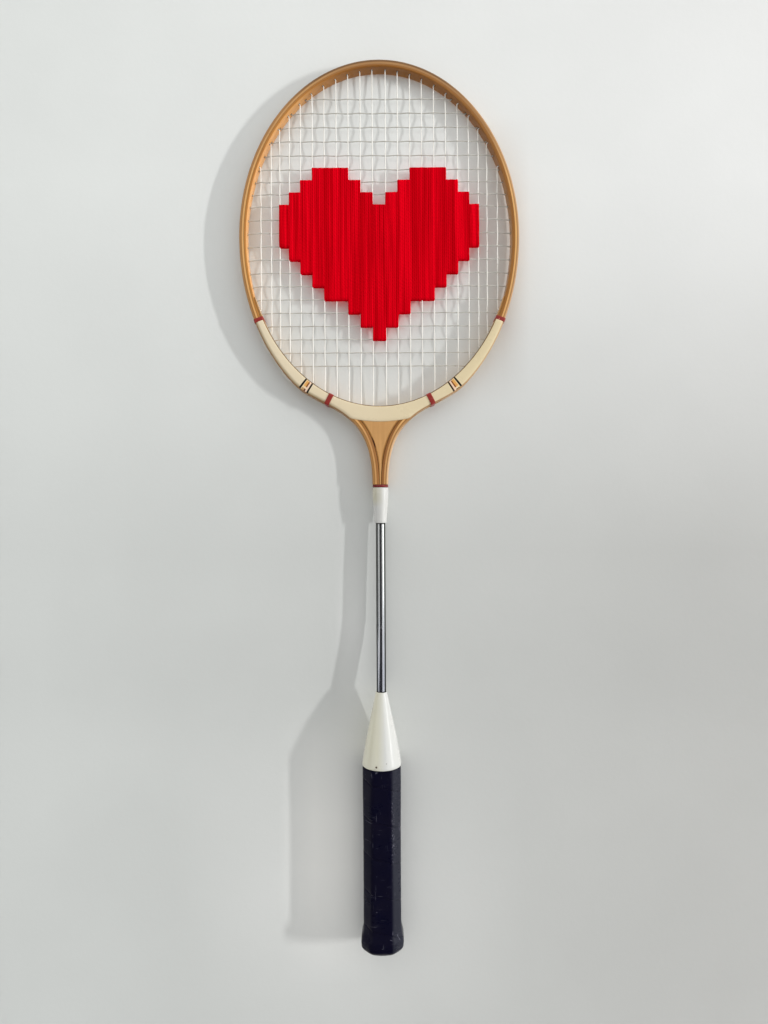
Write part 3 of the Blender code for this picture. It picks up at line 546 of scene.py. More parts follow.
def withLengths(line):
    # adds the length along the outer line, from the head's top
    lengths = [0.0]
    for (first, _), (second, _) in zip(line, line[1:]):
        lengths.append(lengths[-1] + (second - first).length)
    return [(point, normal, length) for (point, normal), length in zip(line, lengths)]


rightStations = withLengths(rightLine())
leftStations = [(Vector((-p.x, p.y)), Vector((-n.x, n.y)), -s) for p, n, s in rightStations]
bowStations = leftStations[:0:-1] + rightStations


def lengthAt(test):
    # length along the right side where the test changes sign, below the widest place
    for (a, _, s), (b, _, t) in zip(rightStations, rightStations[1:]):
        first, second = test(a), test(b)
        if b.y < head["widest"] and first * second <= 0 and first != second:
            return s + (t - s) * first / (first - second)


def stationAt(length):
    for (a, na, s), (b, nb, t) in zip(rightStations, rightStations[1:]):
        if s <= length <= t:
            share = (length - s) / (t - s)
            return a.lerp(b, share), na.lerp(nb, share).normalized(), length


def ovalDistance(point, direction):
    # distance along the ray to the oval opening, or None where it passes below it
    a, b = oval["halfWidth"], oval["halfHeight"]
    px, pz = point.x / a, (point.y - head["widest"]) / b
    dx, dz = direction.x / a, direction.y / b
    square = dx * dx + dz * dz
    half = px * dx + pz * dz
    rest = half * half - square * (px * px + pz * pz - 1)
    return None if rest < 0 else (-half - math.sqrt(rest)) / square


# colours of the bow by the distance in from its outer line; inside a hole it is below zero
holeShade = (0.030, 0.014, 0.007)
bow = {
    "bands": (
        (-0.0010, holeShade), (-0.0004, holeShade), (-0.0001, (0.42, 0.225, 0.080)),
        (0.00120, (0.45, 0.240, 0.085)), (0.00150, (0.36, 0.168, 0.045)), (0.00205, (0.38, 0.176, 0.046)),
        (0.00225, (0.78, 0.445, 0.165)), (0.00334, (0.78, 0.445, 0.165)), (0.00350, (0.14, 0.050, 0.010)),
        (0.00368, (0.33, 0.138, 0.025)), (0.00490, (0.33, 0.135, 0.024)), (0.00515, (0.40, 0.186, 0.048)),
        (0.00541, (0.40, 0.186, 0.048)),
    ),
    "rightShift": 0.00035, "pale": (0.00216, 0.00341, 0.0001), "rim": (-0.0002, 0.00135, 0.0002),
    "topShade": (0.33, 0.16, 0.050), "upperLeftShade": (0.40, 0.195, 0.060), "topInnerWallShade": (0.74, 0.62, 0.34),
    "neckHeights": (-0.262, -0.275), "neckPale": (0.60, 0.32, 0.120), "neckLegs": (0.335, 0.143, 0.037),
    "rimLight": (0.72, 0.49, 0.29), "crown": (0.07, 0.028, 0.0),
    # painted light: on the left, whose inner face and wall face the lamp, the wood inside these distances is paler:
    # distance, place, gain
    "leftPaintedLight": ((0.0036, -0.015, (1.42, 1.48, 1.60)), (0.0050, -0.045, (1.35, 1.38, 1.50))),
    "grainTint": (0.74, 0.66, 0.58), "dirt": (0.20, 0.10, 0.035), "speck": (0.05, 0.025, 0.012),
}


def bowColor(inset, parts, place):
    # the bands, with what changes along the bow
    color = colorBands(inset, bow["bands"])
    along, across = parts["X"], parts["Y"]
    # painted shade: the pale band is darker over the head's top and upper left, and the outer ply dark at the very
    # top; in the neck the band is golden
    pale = band(inset, *bow["pale"])
    over = times(remap(along, 0.15, 0.10), remap(along, -0.070, -0.030))
    color = mixColor(times(over, pale, 0.85), color, bow["topShade"])
    upper = times(remap(along, -0.140, -0.100), remap(along, 0.0, -0.010), pale, 0.5)
    color = mixColor(upper, color, bow["upperLeftShade"])
    # painted shade on the inner wall under the head's top, which faces down
    shaded = times(over, remap(across, 0.0046, 0.0053))
    color = mixColor(shaded, color, tinted(color, bow["topInnerWallShade"]))
    neck = remap(place["Z"], *bow["neckHeights"])
    color = mixColor(times(neck, pale), color, bow["neckPale"])
    color = mixColor(times(neck, remap(across, 0.0031, 0.0033)), color, bow["neckLegs"])
    # painted light: the outer edge is paler on the right, which faces the lamp
    lit = times(neck, remap(place["X"], 0.0, 0.001), 0.75)
    lit = maths("MAXIMUM", lit, remap(place["X"], 0.030, 0.080, 0.0, 0.40))
    color = mixColor(times(lit, band(across, *bow["rim"])), color, bow["rimLight"])
    # painted shade on the outer ply at the very top
    crown = times(remap(maths("ABSOLUTE", along), 0.085, 0.050), remap(across, 0.0021, 0.0019))
    color = mixColor(times(crown, 0.60), color, bow["crown"])
    # painted light on the left bow's inner face and wall
    for start, near, gain in bow["leftPaintedLight"]:
        left = times(remap(place["X"], near, near - 0.05), remap(across, start, start + 0.0002))
        color = mixColor(left, color, tinted(color, gain))
    return color


def woodMaterial(name, light):
    return newMaterial(name, light, 0.35, Coat_Weight=0.15, Coat_Roughness=0.15, Specular_IOR_Level=0.3)


def grained(color, along, across, streaks, pores):
    # grain and marks over the wood's colour, with its roughness and relief
    dark = tinted(color, bow["grainTint"])
    grain = useGroup(
        grainGroup, Along=along, Across=across, Light=color, Dark=dark, Streaks=streaks, Pores=pores,
    )
    marks = wear(0.5, 0.5, 0.7)
    color = soiled(grain["Color"], marks, 0.15, bow["dirt"], bow["speck"])
    rough = plus(grain["Roughness"], times(marks["Scratch"], 0.2))
    return color, rough, minus(grain["Height"], marks["Scratch"])


def bowMaterial():
    material = woodMaterial("bowWood", bow["bands"][-1][1])
    parts, place = mapParts(), objectParts()
    # on the right the bands lie a little further out
    shift = remap(place["X"], 0.02, 0.06, 0.0, bow["rightShift"])
    color = bowColor(plus(parts["Y"], shift), parts, place)
    dress(*grained(color, parts["X"], parts["Y"], 0.7, 0.5), 0.25, 0.00012)
    return material


bowWood = bowMaterial()

strung = {
    "radius": 0.0004, "bedDepth": -0.0006, "crossDepth": 0.00115, "mainGive": 0.00070, "crossGive": 0.00040,
    "holeRadius": 0.00090, "holeInside": 0.0012, "holeOutside": 0.0004, "holeMap": (0.0, -0.001),
    "mainOffsets": (0.0049, 0.0139, 0.0230, 0.0319, 0.0409, 0.0497, 0.0585, 0.0668, 0.0740, 0.0804, 0.0882),
    "firstCross": -0.0217, "crossSpacings": ((5, 0.01050), (3, 0.00913), (12, 0.00992)),
    "mouthStandoff": 0.0009, "inset": 0.0004, "mouthShares": (0.12, 0.88), "sideRoom": 0.0006, "tightRoom": 0.0028,
    "weaveShares": (0.0, 0.16, 0.34, 0.5, 0.66, 0.84), "endRoom": 0.002,
    "tieLength": 0.0040, "slack": 0.0013, "slackRuns": (6, 8),
    "shoulderExits": {0: -0.2700, 1: -0.2625}, "turnGap": 0.25, "tieStep": 0.5,
    # the crosses are the mains' nylon painted darker: painted shade for strings that the side light only grazes
    "mainNylon": ((0.86, 0.85, 0.80), (0.72, 0.69, 0.60)), "crossNylonInShade": ((0.52, 0.51, 0.46), (0.40, 0.38, 0.33)),
    "speck": (0.25, 0.22, 0.18),
}


def crossHeights():
    heights = [strung["firstCross"]]
    for count, pitch in strung["crossSpacings"]:
        heights += [heights[-1] - pitch * (i + 1) for i in range(count)]
    return heights


mainCount = len(strung["mainOffsets"])
mains = [-x for x in reversed(strung["mainOffsets"])] + list(strung["mainOffsets"])
crosses = crossHeights()
grooveLine = [point - strung["inset"] * normal for point, normal, _ in bowStations]


def rayToGroove(origin, direction):
    best = None
    for index, (a, b) in enumerate(zip(grooveLine, grooveLine[1:])):
        run, gap = b - a, a - origin
        cross = direction.x * run.y - direction.y * run.x
        if abs(cross) < 1e-12:
            continue
        distance = (gap.x * run.y - gap.y * run.x) / cross
        share = (gap.x * direction.y - gap.y * direction.x) / cross
        if distance > 0 and 0 <= share <= 1 and (best is None or distance < best[0]):
            best = (distance, index + share)
    return best


def stringEnd(x, z, y, toward=None):
    # where a string bends into its hole, and where it comes out in the groove
    bend = Vector((x, z))
    direction = Vector((x / oval["halfWidth"] ** 2, (z - head["widest"]) / oval["halfHeight"] ** 2)).normalized()
    if toward is not None:
        direction = (toward - bend).normalized()
    distance, place = rayToGroove(bend, direction)
    return {"bend": bend, "exit": bend + distance * direction, "place": place, "y": y}


def mainEnds():
    shoulder = {}
    for rank, height in strung["shoulderExits"].items():
        index = next(i for i in range(len(grooveLine) // 2, len(grooveLine) - 1) if grooveLine[i + 1].y < height)
        a, b = grooveLine[index], grooveLine[index + 1]
        shoulder[rank] = a.lerp(b, (a.y - height) / (a.y - b.y))
    ends = []
    for index, x in enumerate(mains):
        share = x / (oval["halfWidth"] - strung["mouthStandoff"])
        reach = (oval["halfHeight"] - strung["mouthStandoff"]) * math.sqrt(1 - share * share)
        toward = shoulder.get(max(index - mainCount, mainCount - 1 - index))
        if toward is not None:
            toward = Vector((math.copysign(toward.x, x), toward.y))
        top = stringEnd(x, head["widest"] + reach, strung["bedDepth"])
        ends.append((top, stringEnd(x, head["widest"] - reach, strung["bedDepth"], toward)))
    return ends


def crossEnds():
    ends = []
    for z in crosses:
        share = (z - head["widest"]) / (oval["halfHeight"] - strung["mouthStandoff"])
        reach = (oval["halfWidth"] - strung["mouthStandoff"]) * math.sqrt(1 - share * share)
        ends.append((stringEnd(-reach, z, strung["crossDepth"]), stringEnd(reach, z, strung["crossDepth"])))
    return ends


mainHoles, crossHoles = mainEnds(), crossEnds()


def deep(point, y):
    return Vector((point.x, y, point.y))


def buildDrill(name, pairs):
    # a rod for each hole; its map lies below zero, where the bow's colours are a hole's shade
    bm = bmesh.new()
    for end in (end for pair in pairs for end in pair):
        inner, outer = deep(end["bend"], end["y"]), deep(end["exit"], end["y"])
        axis = (outer - inner).normalized()
        inner, outer = inner - strung["holeInside"] * axis, outer + strung["holeOutside"] * axis
        turn = axis.to_track_quat("Z", "Y").to_matrix().to_4x4()
        bmesh.ops.create_cone(
            bm, cap_ends=True, segments=12, radius1=strung["holeRadius"], radius2=strung["holeRadius"],
            depth=(outer - inner).length, matrix=Matrix.Translation((inner + outer) / 2) @ turn,
        )
    grainMap = bm.loops.layers.uv.new("grainMap")
    for face in bm.faces:
        for loop in face.loops:
            loop[grainMap].uv = strung["holeMap"]
    return meshObject(name, bm)


drills = [buildDrill("mainDrill", mainHoles), buildDrill("crossDrill", crossHoles)]


def drillHoles(piece):
    for drill in drills:
        cut = piece.modifiers.new("holes", "BOOLEAN")
        cut.operation, cut.solver, cut.object = "DIFFERENCE", "MANIFOLD", drill
    bpy.context.view_layer.update()
    mesh = bpy.data.meshes.new_from_object(piece.evaluated_get(bpy.context.evaluated_depsgraph_get()))
    piece.modifiers.clear()
    old = piece.data
    piece.data = mesh
    bpy.data.meshes.remove(old)
    mesh.set_sharp_from_angle(angle=math.radians(35))


plies = {
    "outer": 0.00275, "veneer": 0.00302, "inner": 0.00541,
    "cornerRadius": 0.0011, "cornerSteps": 4, "glueGap": 0.00002,
    "grooveDepth": 0.0009, "grooveFront": -0.0015, "grooveBack": 0.0020, "grooveEnd": -0.2765, "grooveRunOut": 0.006,
    # the groove's rounded lip: share of the depth, way in from the groove's side
    "grooveLip": ((0.0, -0.00015), (0.12, 0.0), (0.9, 0.00015), (1.0, 0.0005)),
}


def cornerArc(inset, y, insetSign, ySign):
    # a rounded corner whose outer lines are at inset and y, from the face round to the side
    points = []
    for i in range(plies["cornerSteps"] + 1):
        angle = math.pi / 2 * i / plies["cornerSteps"]
        points.append((
            inset + insetSign * plies["cornerRadius"] * (1 - math.sin(angle)),
            y - ySign * plies["cornerRadius"] * (1 - math.cos(angle)),
        ))
    return points


def outerProfile(height):
    half = head["halfDepth"]
    fade = min(1.0, max(0.0, (height - plies["grooveEnd"]) / plies["grooveRunOut"]))
    depth = plies["grooveDepth"] * eased(fade)
    profile = [(plies["outer"], -half)] + cornerArc(0.0, -half, 1, -1)
    profile += [(share * depth, plies["grooveFront"] + reach) for share, reach in plies["grooveLip"]]
    profile += [(share * depth, plies["grooveBack"] - reach) for share, reach in reversed(plies["grooveLip"])]
    return profile + cornerArc(0.0, half, 1, 1)[::-1] + [(plies["outer"], half)]


def innerProfile(_):
    half = head["halfDepth"]
    profile = [(plies["veneer"], half)] + cornerArc(plies["inner"], half, -1, 1)
    return profile + cornerArc(plies["inner"], -half, -1, -1)[::-1] + [(plies["veneer"], -half)]


def veneerProfile(_):
    half = head["halfDepth"] - plies["glueGap"]
    return [(plies["outer"], -half), (plies["outer"], half), (plies["veneer"], half), (plies["veneer"], -half)]


def buildPly(name, profileAt, replaced):
    rings, marks = [], []
    for point, normal, length in bowStations:
        profile = profileAt(point.y)
        rings.append([deep(point - inset * normal, y) for inset, y in profile])
        marks.append([(length, inset) for inset, _ in profile])
    drillHoles(finishMesh(name, sweptMesh(rings, marks), bowWood, replaced))


buildPly("outerPly", outerProfile, ["outer_ply"])
buildPly("glueVeneer", veneerProfile, [])
buildPly("innerPly", innerProfile, ["inner_ply"])
print("plies bent and drilled")

wedge = {
    "tipAngle": math.radians(109), "edgeRadius": 0.00035, "columns": 7, "farFromOval": 0.05,
    "wood": (0.60, 0.325, 0.118), "hornWood": (0.40, 0.20, 0.060), "hornLength": 0.030, "hornEnd": 0.3,
    "rimShade": (0.150, 0.095, 0.035), "rimWidth": 0.0008, "wallWood": (0.66, 0.43, 0.22),
    "glueLine": (0.30, 0.130, 0.030), "legWood": (0.38, 0.175, 0.045),
    "tipLine": (-0.00045, 0.00095, 0.0002), "tipHeights": (-0.270, -0.280),
    "slitHeight": -0.2800, "slitReach": 0.0034, "slitShade": (0.045, 0.006, 0.005),
}


def ladder(outerInset, innerMargin, stations):
    # rungs from the bow's inner line to the oval, or to the racket's middle below it
    rungs = []
    reachedMiddle = False
    for point, normal, length in stations:
        start = point - outerInset * normal
        distance = ovalDistance(start, -normal)
        end = None if distance is None else start - (distance - innerMargin) * normal
        onOval = end is not None and end.x >= 0
        if not onOval:
            end = start - normal * (start.x / normal.x)
            if not reachedMiddle:
                end = Vector((0.0, head["widest"] - oval["halfHeight"] - innerMargin))
                reachedMiddle = onOval = True
        rungs.append((start, end, length, onOval))
    return rungs


def ladderMesh(rungs, places, acrossStart, hidden, visible, drop):
    # extrudes a row of edges from rung to rung, mirrors it to the left and thickens it;
    # places gives the points' distances on a rung, and drop how far the visible face sinks there
    bm = bmesh.new()
    column = bm.verts.layers.int.new("column")
    layers = {name: bm.verts.layers.float.new(name) for name in ("along", "across", "rim", "sink")}

    def setVert(vert, rung):
        start, end, length, onOval = rung
        span = (end - start).length
        distance = places(span)[vert[column]]
        inner = span - distance if onOval else wedge["farFromOval"]
        point = start.lerp(end, distance / span)
        vert.co = (point.x, 0, point.y)
        vert[layers["along"]] = length
        vert[layers["across"]] = acrossStart + distance
        vert[layers["rim"]] = inner
        vert[layers["sink"]] = drop(distance, inner)

    row = [bm.verts.new() for _ in places(1.0)]
    for index, vert in enumerate(row):
        vert[column] = index
        setVert(vert, rungs[0])
    edges = [bm.edges.new(pair) for pair in zip(row, row[1:])]
    for rung in rungs[1:]:
        edges = pushEdges(bm, edges)
        for vert in {v for edge in edges for v in edge.verts}:
            setVert(vert, rung)
    bmesh.ops.remove_doubles(bm, verts=bm.verts, dist=2e-6)
    bmesh.ops.dissolve_degenerate(bm, edges=bm.edges, dist=1e-6)
    whole = bm.verts[:] + bm.edges[:] + bm.faces[:]
    bmesh.ops.mirror(bm, geom=whole, matrix=Matrix.Identity(4), merge_dist=3e-6, axis="X")
    for vert in bm.verts:
        vert.co.y = hidden
    for vert in madeOf(bmesh.ops.extrude_face_region(bm, geom=bm.faces[:]), bmesh.types.BMVert):
        vert.co.y = visible - math.copysign(vert[layers["sink"]], visible)
    bmesh.ops.recalc_face_normals(bm, faces=bm.faces)
    writeGrainMap(bm, layers["along"], layers["across"])
    return bm


def roundRim(bm, test, radius, segments):
    rim = [
        edge for edge in bm.edges
        if edge.calc_face_angle(0) > math.radians(60) and all(test(vert.co) for vert in edge.verts)
    ]
    bevelEdges(bm, rim, radius, segments)


def onOval(co):
    share = (co.x / oval["halfWidth"]) ** 2 + ((co.z - head["widest"]) / oval["halfHeight"]) ** 2
    return abs(share - 1) < oval["tolerance"]


def wedgeMaterial():
    # pale wood between the legs, with painted shade in a dark line along the oval's rounded edge, and a dark line at
    # the glue
    base, legWood = wedge["wood"], wedge["legWood"]
    stops = (
        (-0.0010, holeShade), (-0.0004, holeShade), (-0.0001, base), (0.0053, wedge["glueLine"]),
        (0.00560, legWood), (0.00615, legWood), (0.0064, base), (0.0300, base),
    )
    material = woodMaterial("wedgeWood", base)
    parts, place = mapParts(), objectParts()
    color = colorBands(parts["Y"], stops)
    color, rough, relief = grained(color, place["Z"], place["X"], 0.45, 0.35)
    tip = lengthAt(lambda p: p.y - headStation(wedge["tipAngle"])[0].y)
    horn = remap(parts["X"], tip + wedge["hornLength"], tip + wedge["hornEnd"] * wedge["hornLength"])
    color = mixColor(times(horn, remap(parts["Y"], 0.0, 0.0002)), color, wedge["hornWood"])
    rim = attribute("rim", "Fac")
    face = remap(maths("ABSOLUTE", place["Y"]), 0.0043, 0.0047)
    line = times(remap(rim, wedge["rimWidth"], wedge["rimWidth"] - 0.0002), face, 0.9, minus(1.0, horn))
    color = mixColor(line, color, wedge["rimShade"])
    wall = times(remap(rim, 0.0004, 0.0001), minus(1.0, face), 0.6)
    color = mixColor(wall, color, wedge["wallWood"])
    # the tip stays pale between the legs, down to the collar
    tipLine = times(band(place["X"], *wedge["tipLine"]), remap(place["Z"], *wedge["tipHeights"]))
    color = mixColor(times(tipLine, 0.85), color, base)
    # the glue has opened beside the left leg, and the gap is dark with painted shade
    middle = lengthAt(lambda p: p.y - wedge["slitHeight"])
    slit = band(parts["X"], middle - wedge["slitReach"], middle + wedge["slitReach"], 0.001)
    slit = times(slit, remap(parts["Y"], 0.0062, 0.0058), remap(place["X"], 0.0, -0.0005))
    dress(mixColor(slit, color, wedge["slitShade"]), rough, relief, 0.25, 0.00012)
    return material


def buildWedge():
    tipHeight = headStation(wedge["tipAngle"])[0].y
    legs = [station for station in rightStations if station[0].x > 0.001 and station[0].y <= tipHeight]
    rungs = ladder(plies["inner"] + plies["glueGap"], 0.0, legs)
    foot, _, length, _ = rungs[-1]
    rungs[-1] = (Vector((foot.x, head["neckBottom"])), Vector((0.0, head["neckBottom"])), length, False)
    count = wedge["columns"]
    bm = ladderMesh(
        rungs, lambda span: [span * i / count for i in range(count + 1)], plies["inner"],
        head["halfDepth"], -head["halfDepth"], lambda outer, inner: 0.0,
    )
    roundRim(bm, onOval, wedge["edgeRadius"], 3)
    drillHoles(finishMesh("throatWedge", bm, wedgeMaterial(), ["throat_wedge"]))


buildWedge()
print("throat wedge fitted")

overlay = {
    "gap": 0.00002, "thickness": 0.00070, "margin": 0.0006, "edgeRadius": 0.00010,
    "outerRoll": 0.0026, "outerDrop": 0.00060, "innerRoll": 0.0012, "innerDrop": 0.00022,
    # the points of a rung lie close together where the face rolls down to its edges
    "outerPlaces": (0.0, 0.0003, 0.0008, 0.0015, 0.0026), "innerPlaces": (0.0012, 0.0006, 0.0002, 0.0),
    "middleShares": (0.33, 0.66), "fullSpan": 0.0042,
    "upperBindingHeight": -0.1880, "lowerBindingX": 0.0395, "bindingHalf": 0.0015, "rimStart": 0.00005,
    "lowHeight": -0.2627, "lowSag": 0.0025, "lowSteps": 12, "lowMap": 0.02,
    "creamLeft": (0.75, 0.64, 0.455), "creamRight": (0.70, 0.585, 0.365), "leftEdgeShade": (0.235, 0.165, 0.065),
    "dirt": (0.56, 0.44, 0.27), "edgeBrown": (0.30, 0.18, 0.08), "speck": (0.10, 0.07, 0.045),
}

# two dark lines with a two-coloured bar between them; lengths from the stripes' middle
stripes = {
    "reach": 0.0580, "leftShift": 0.0012, "span": 0.0033, "halfA": 0.00078, "halfB": 0.00068,
    "ground": ((0.82, 0.62, 0.34), (0.84, 0.60, 0.44)),
    "bar": (-0.0019, 0.0012, 0.00015), "barEnds": (0.60, 0.77), "end": (-0.0020, 0.0012, 0.00010),
    "golden": (0.74, 0.37, 0.095), "brown": (0.22, 0.050, 0.003), "paleEnd": (0.55, 0.33, 0.15),
    "darkEnd": (0.10, 0.013, 0.002), "oliveEnd": (0.10, 0.065, 0.02),
    "inkA": (0.0, 0.0, 0.0), "inkBLeft": (0.001, 0.001, 0.0), "inkBRight": (0.040, 0.018, 0.010),
}

upperBinding = lengthAt(lambda p: p.y - overlay["upperBindingHeight"])
lowerBinding = lengthAt(lambda p: p.x - overlay["lowerBindingX"])


def stripeTone(tone, along, share, rightSide, leftSide):
    # share is 0 at the oval and 1 at the outside
    span = stripes["span"]
    ground = mixColor(remap(along, -0.0004, 0.0008), *stripes["ground"])
    tone = mixColor(times(band(along, -span, span, 0.0001), 0.85), tone, ground)
    lower = remap(along, 0.0000, 0.0003)
    reach = remap(rightSide, 0.0, 1.0, *stripes["barEnds"])
    onBar = remap(minus(share, reach), 0.015, -0.015)
    onBar = times(band(along, *stripes["bar"]), onBar, remap(share, 0.02, 0.10))
    tone = mixColor(onBar, tone, mixColor(lower, stripes["golden"], stripes["brown"]))
    leftEnd = times(band(along, *stripes["end"]), remap(share, 0.77, 0.80), leftSide)
    tone = mixColor(leftEnd, tone, mixColor(lower, stripes["paleEnd"], stripes["darkEnd"]))
    rightEnd = times(band(along, *stripes["end"]), remap(share, 0.92, 0.94), rightSide)
    tone = mixColor(rightEnd, tone, stripes["oliveEnd"])
    worn = remap(noiseTexture(objectPlace(), 900, 3.0), 0.24, 0.30)
    inkB = mixColor(rightSide, stripes["inkBLeft"], stripes["inkBRight"])
    for place, half, ink in ((-span, stripes["halfA"], stripes["inkA"]), (span, stripes["halfB"], inkB)):
        tone = mixColor(times(band(along, place - half, place + half, 0.0001), worn), tone, ink)
    return tone


def creamMaterial():
    left, right = overlay["creamLeft"], overlay["creamRight"]
    material = newMaterial(
        "creamLacquer", left, 0.34, Coat_Weight=0.2, Coat_Roughness=0.15, Specular_IOR_Level=0.4,
    )
    parts, side = mapParts(), objectParts()["X"]
    rim, outer = attribute("rim", "Fac"), minus(parts["Y"], overlay["margin"])
    marks = wear(0.5, 0.6, 0.9)
    clouds = times(remap(noiseTexture(objectPlace(), 26, 4.0), 0.3, 0.75), 0.03)
    tone = mixColor(remap(plus(side, clouds), -0.06, 0.09), left, right)
    tone = mixColor(times(marks["Smudge"], 0.16), tone, overlay["dirt"])
    rightSide = remap(side, -0.001, 0.001)
    leftSide = minus(1.0, rightSide)
    # painted shade: on the left the cream darkens to olive towards its outer edge, where the face rolls away from the
    # lamp
    shaded = times(remap(outer, 0.0022, 0.0003), remap(side, -0.012, -0.045), 0.75)
    tone = mixColor(shaded, tone, overlay["leftEdgeShade"])
    tone = mixColor(remap(outer, 0.0006, 0.0, 0.0, 0.6), tone, overlay["edgeBrown"])
    middle = lengthAt(lambda p: p.x - stripes["reach"])
    along = minus(minus(parts["X"], middle), times(leftSide, stripes["leftShift"]))
    tone = stripeTone(tone, along, maths("DIVIDE", rim, plus(rim, outer)), rightSide, leftSide)
    tone = mixColor(marks["Speck"], tone, overlay["speck"])
    relief = minus(noiseTexture(objectPlace(), 120, 2.0), marks["Scratch"])
    dress(tone, smudged(marks, 0.26, 0.46), relief, 0.2, 0.0001)
    return material


def overlayRungs():
    margin = overlay["margin"]
    top = upperBinding + overlay["bindingHalf"]
    corner = lengthAt(lambda p: p.y - (overlay["lowHeight"] + overlay["lowSag"]))
    stations = [stationAt(top)]
    stations += [station for station in rightStations if top < station[2] < corner]
    stations.append(stationAt(corner))
    rungs = ladder(margin, margin, stations)
    start, end, length, _ = rungs[-1]
    halfWidth, halfHeight = oval["halfWidth"] + margin, oval["halfHeight"] + margin
    endAngle = math.asin(end.x / halfWidth)
    for i in range(1, overlay["lowSteps"] + 1):
        share = i / overlay["lowSteps"]
        x = start.x * (1 - share)
        sag = overlay["lowSag"] * (x / start.x) ** 2
        angle = endAngle * (1 - share)
        inner = Vector((halfWidth * math.sin(angle), head["widest"] - halfHeight * math.cos(angle)))
        rungs.append((Vector((x, overlay["lowHeight"] + sag)), inner, length + overlay["lowMap"] * share, True))
    return rungs


def overlayPlaces(span):
    outer, inner = overlay["outerPlaces"], overlay["innerPlaces"]
    scale = min(1.0, span / overlay["fullSpan"])
    first, last = outer[-1] * scale, span - inner[0] * scale
    middle = [first + (last - first) * share for share in overlay["middleShares"]]
    return [place * scale for place in outer] + middle + [span - place * scale for place in inner]


def overlayDrop(outer, inner):
    outerShare = max(0.0, 1 - outer / overlay["outerRoll"])
    innerShare = max(0.0, 1 - inner / overlay["innerRoll"])
    return overlay["outerDrop"] * outerShare ** 2 + overlay["innerDrop"] * innerShare ** 2


def buildOverlays():
    material = creamMaterial()
    near = head["halfDepth"] + overlay["gap"]
    far = near + overlay["thickness"]
    for name, node, side in (
        ("throatOverlayFront", "throat_overlay_front", -1),
        ("throatOverlayBack", "throat_overlay_back", 1),
    ):
        bm = ladderMesh(overlayRungs(), overlayPlaces, overlay["margin"], side * near, side * far, overlayDrop)
        roundRim(bm, lambda co: abs(co.y) > near + overlay["rimStart"], overlay["edgeRadius"], 2)
        finishMesh(name, bm, material, [node])


buildOverlays()
print("cream overlays fitted")

binding = {
    "thickness": 0.00040, "cornerRadius": 0.0009, "upperWidth": 0.0030, "lowerWidth": 0.0035, "steps": 6,
    "insideGap": 0.00003, "faceGap": 0.00005, "crown": 0.00010,
    "wobble": 0.00012, "wobbleAround": 300, "wobbleAlong": 200, "wobbleSide": 9, "outsideShare": 0.6,
    "red": (0.29, 0.020, 0.014), "dull": (0.15, 0.010, 0.008), "worn": (0.72, 0.35, 0.25),
}


def bindingMaterial(name, red, dull):
    material = newMaterial(name, red, 0.42, Coat_Weight=0.15, Coat_Roughness=0.25)
    marks = wear(0.8, 0.8, 1.0)
    tone = mixColor(times(marks["Smudge"], 0.45), red, dull)
    tone = mixColor(plus(marks["Scratch"], marks["Speck"], clamp=True), tone, binding["worn"])
    threads = noiseTexture(objectPlace(), 1500, 3.0)
    dress(tone, smudged(marks, 0.34, 0.58), threads, 0.35, 0.00008)
    return material


redBinding = bindingMaterial("redBinding", binding["red"], binding["dull"])


def buildBinding(name, node, length, width, face, side):
    # a rounded band round the bow's section, drawn out along the bow and given a wall
    point, normal, _ = stationAt(length)
    along = Vector((normal.y, -normal.x))
    depth = ovalDistance(point, -normal)
    gap, steps, thickness = binding["insideGap"], binding["steps"], binding["thickness"]
    bm = bmesh.new()
    section = [(-gap, -face), (-gap, face), (depth + gap, face), (depth + gap, -face)]
    corners = [bm.verts.new((inset, y, -width / 2)) for inset, y in section]
    bm.faces.new(corners)
    bmesh.ops.bevel(
        bm, geom=corners, offset=binding["cornerRadius"], segments=4, affect="VERTICES", profile=0.5,
        material=-1, clamp_overlap=True,
    )
    bmesh.ops.delete(bm, geom=bm.faces[:], context="FACES_ONLY")
    edges = bm.edges[:]
    for _ in range(steps):
        edges = pushEdges(bm, edges)
        verts = list({vert for edge in edges for vert in edge.verts})
        bmesh.ops.translate(bm, verts=verts, vec=(0, 0, width / steps))
    bmesh.ops.recalc_face_normals(bm, faces=bm.faces)
    bmesh.ops.solidify(bm, geom=bm.faces[:], thickness=-thickness)
    for vert in bm.verts:
        inset, y, shift = vert.co
        outward = max(-inset, inset - depth, abs(y) - face)
        if outward > thickness * binding["outsideShare"]:  # the outside falls off towards both sides of the band
            pull = binding["crown"] * (2 * abs(shift) / width) ** 4
            if abs(y) - face == outward:
                y -= math.copysign(pull, y)
            else:
                inset += math.copysign(pull, depth / 2 - inset)
        around, layer = binding["wobbleAround"], shift * binding["wobbleAlong"] + side * binding["wobbleSide"]
        shift += binding["wobble"] * noise.noise(Vector((inset * around, y * around, layer)))
        flat = point - inset * normal + shift * along
        vert.co = (side * flat.x, y, flat.y)
    finishMesh(name, bm, redBinding, [node])


def buildBindings():
    upperFace = head["halfDepth"] + binding["faceGap"]
    lowerFace = head["halfDepth"] + overlay["gap"] + overlay["thickness"] + binding["faceGap"]
    for sideName, side in (("Right", 1), ("Left", -1)):
        for level, length, face in (("upper", upperBinding, upperFace), ("lower", lowerBinding, lowerFace)):
            node = f"{level}_binding_{sideName.lower()}"
            buildBinding(f"{level}Binding{sideName}", node, length, binding[level + "Width"], face, side)


buildBindings()
print("bindings wound")


def stringMaterial(name, color, dirt):
    material = newMaterial(name, color, 0.30, Specular_IOR_Level=0.6)
    marks = wear(0.4, 1.0, 0.6)
    tone = soiled(color, marks, 0.5, dirt, strung["speck"])
    dress(tone, smudged(marks, 0.24, 0.40), noiseTexture(objectPlace(), 2600, 2.0), 0.2, 0.00005)
    return material


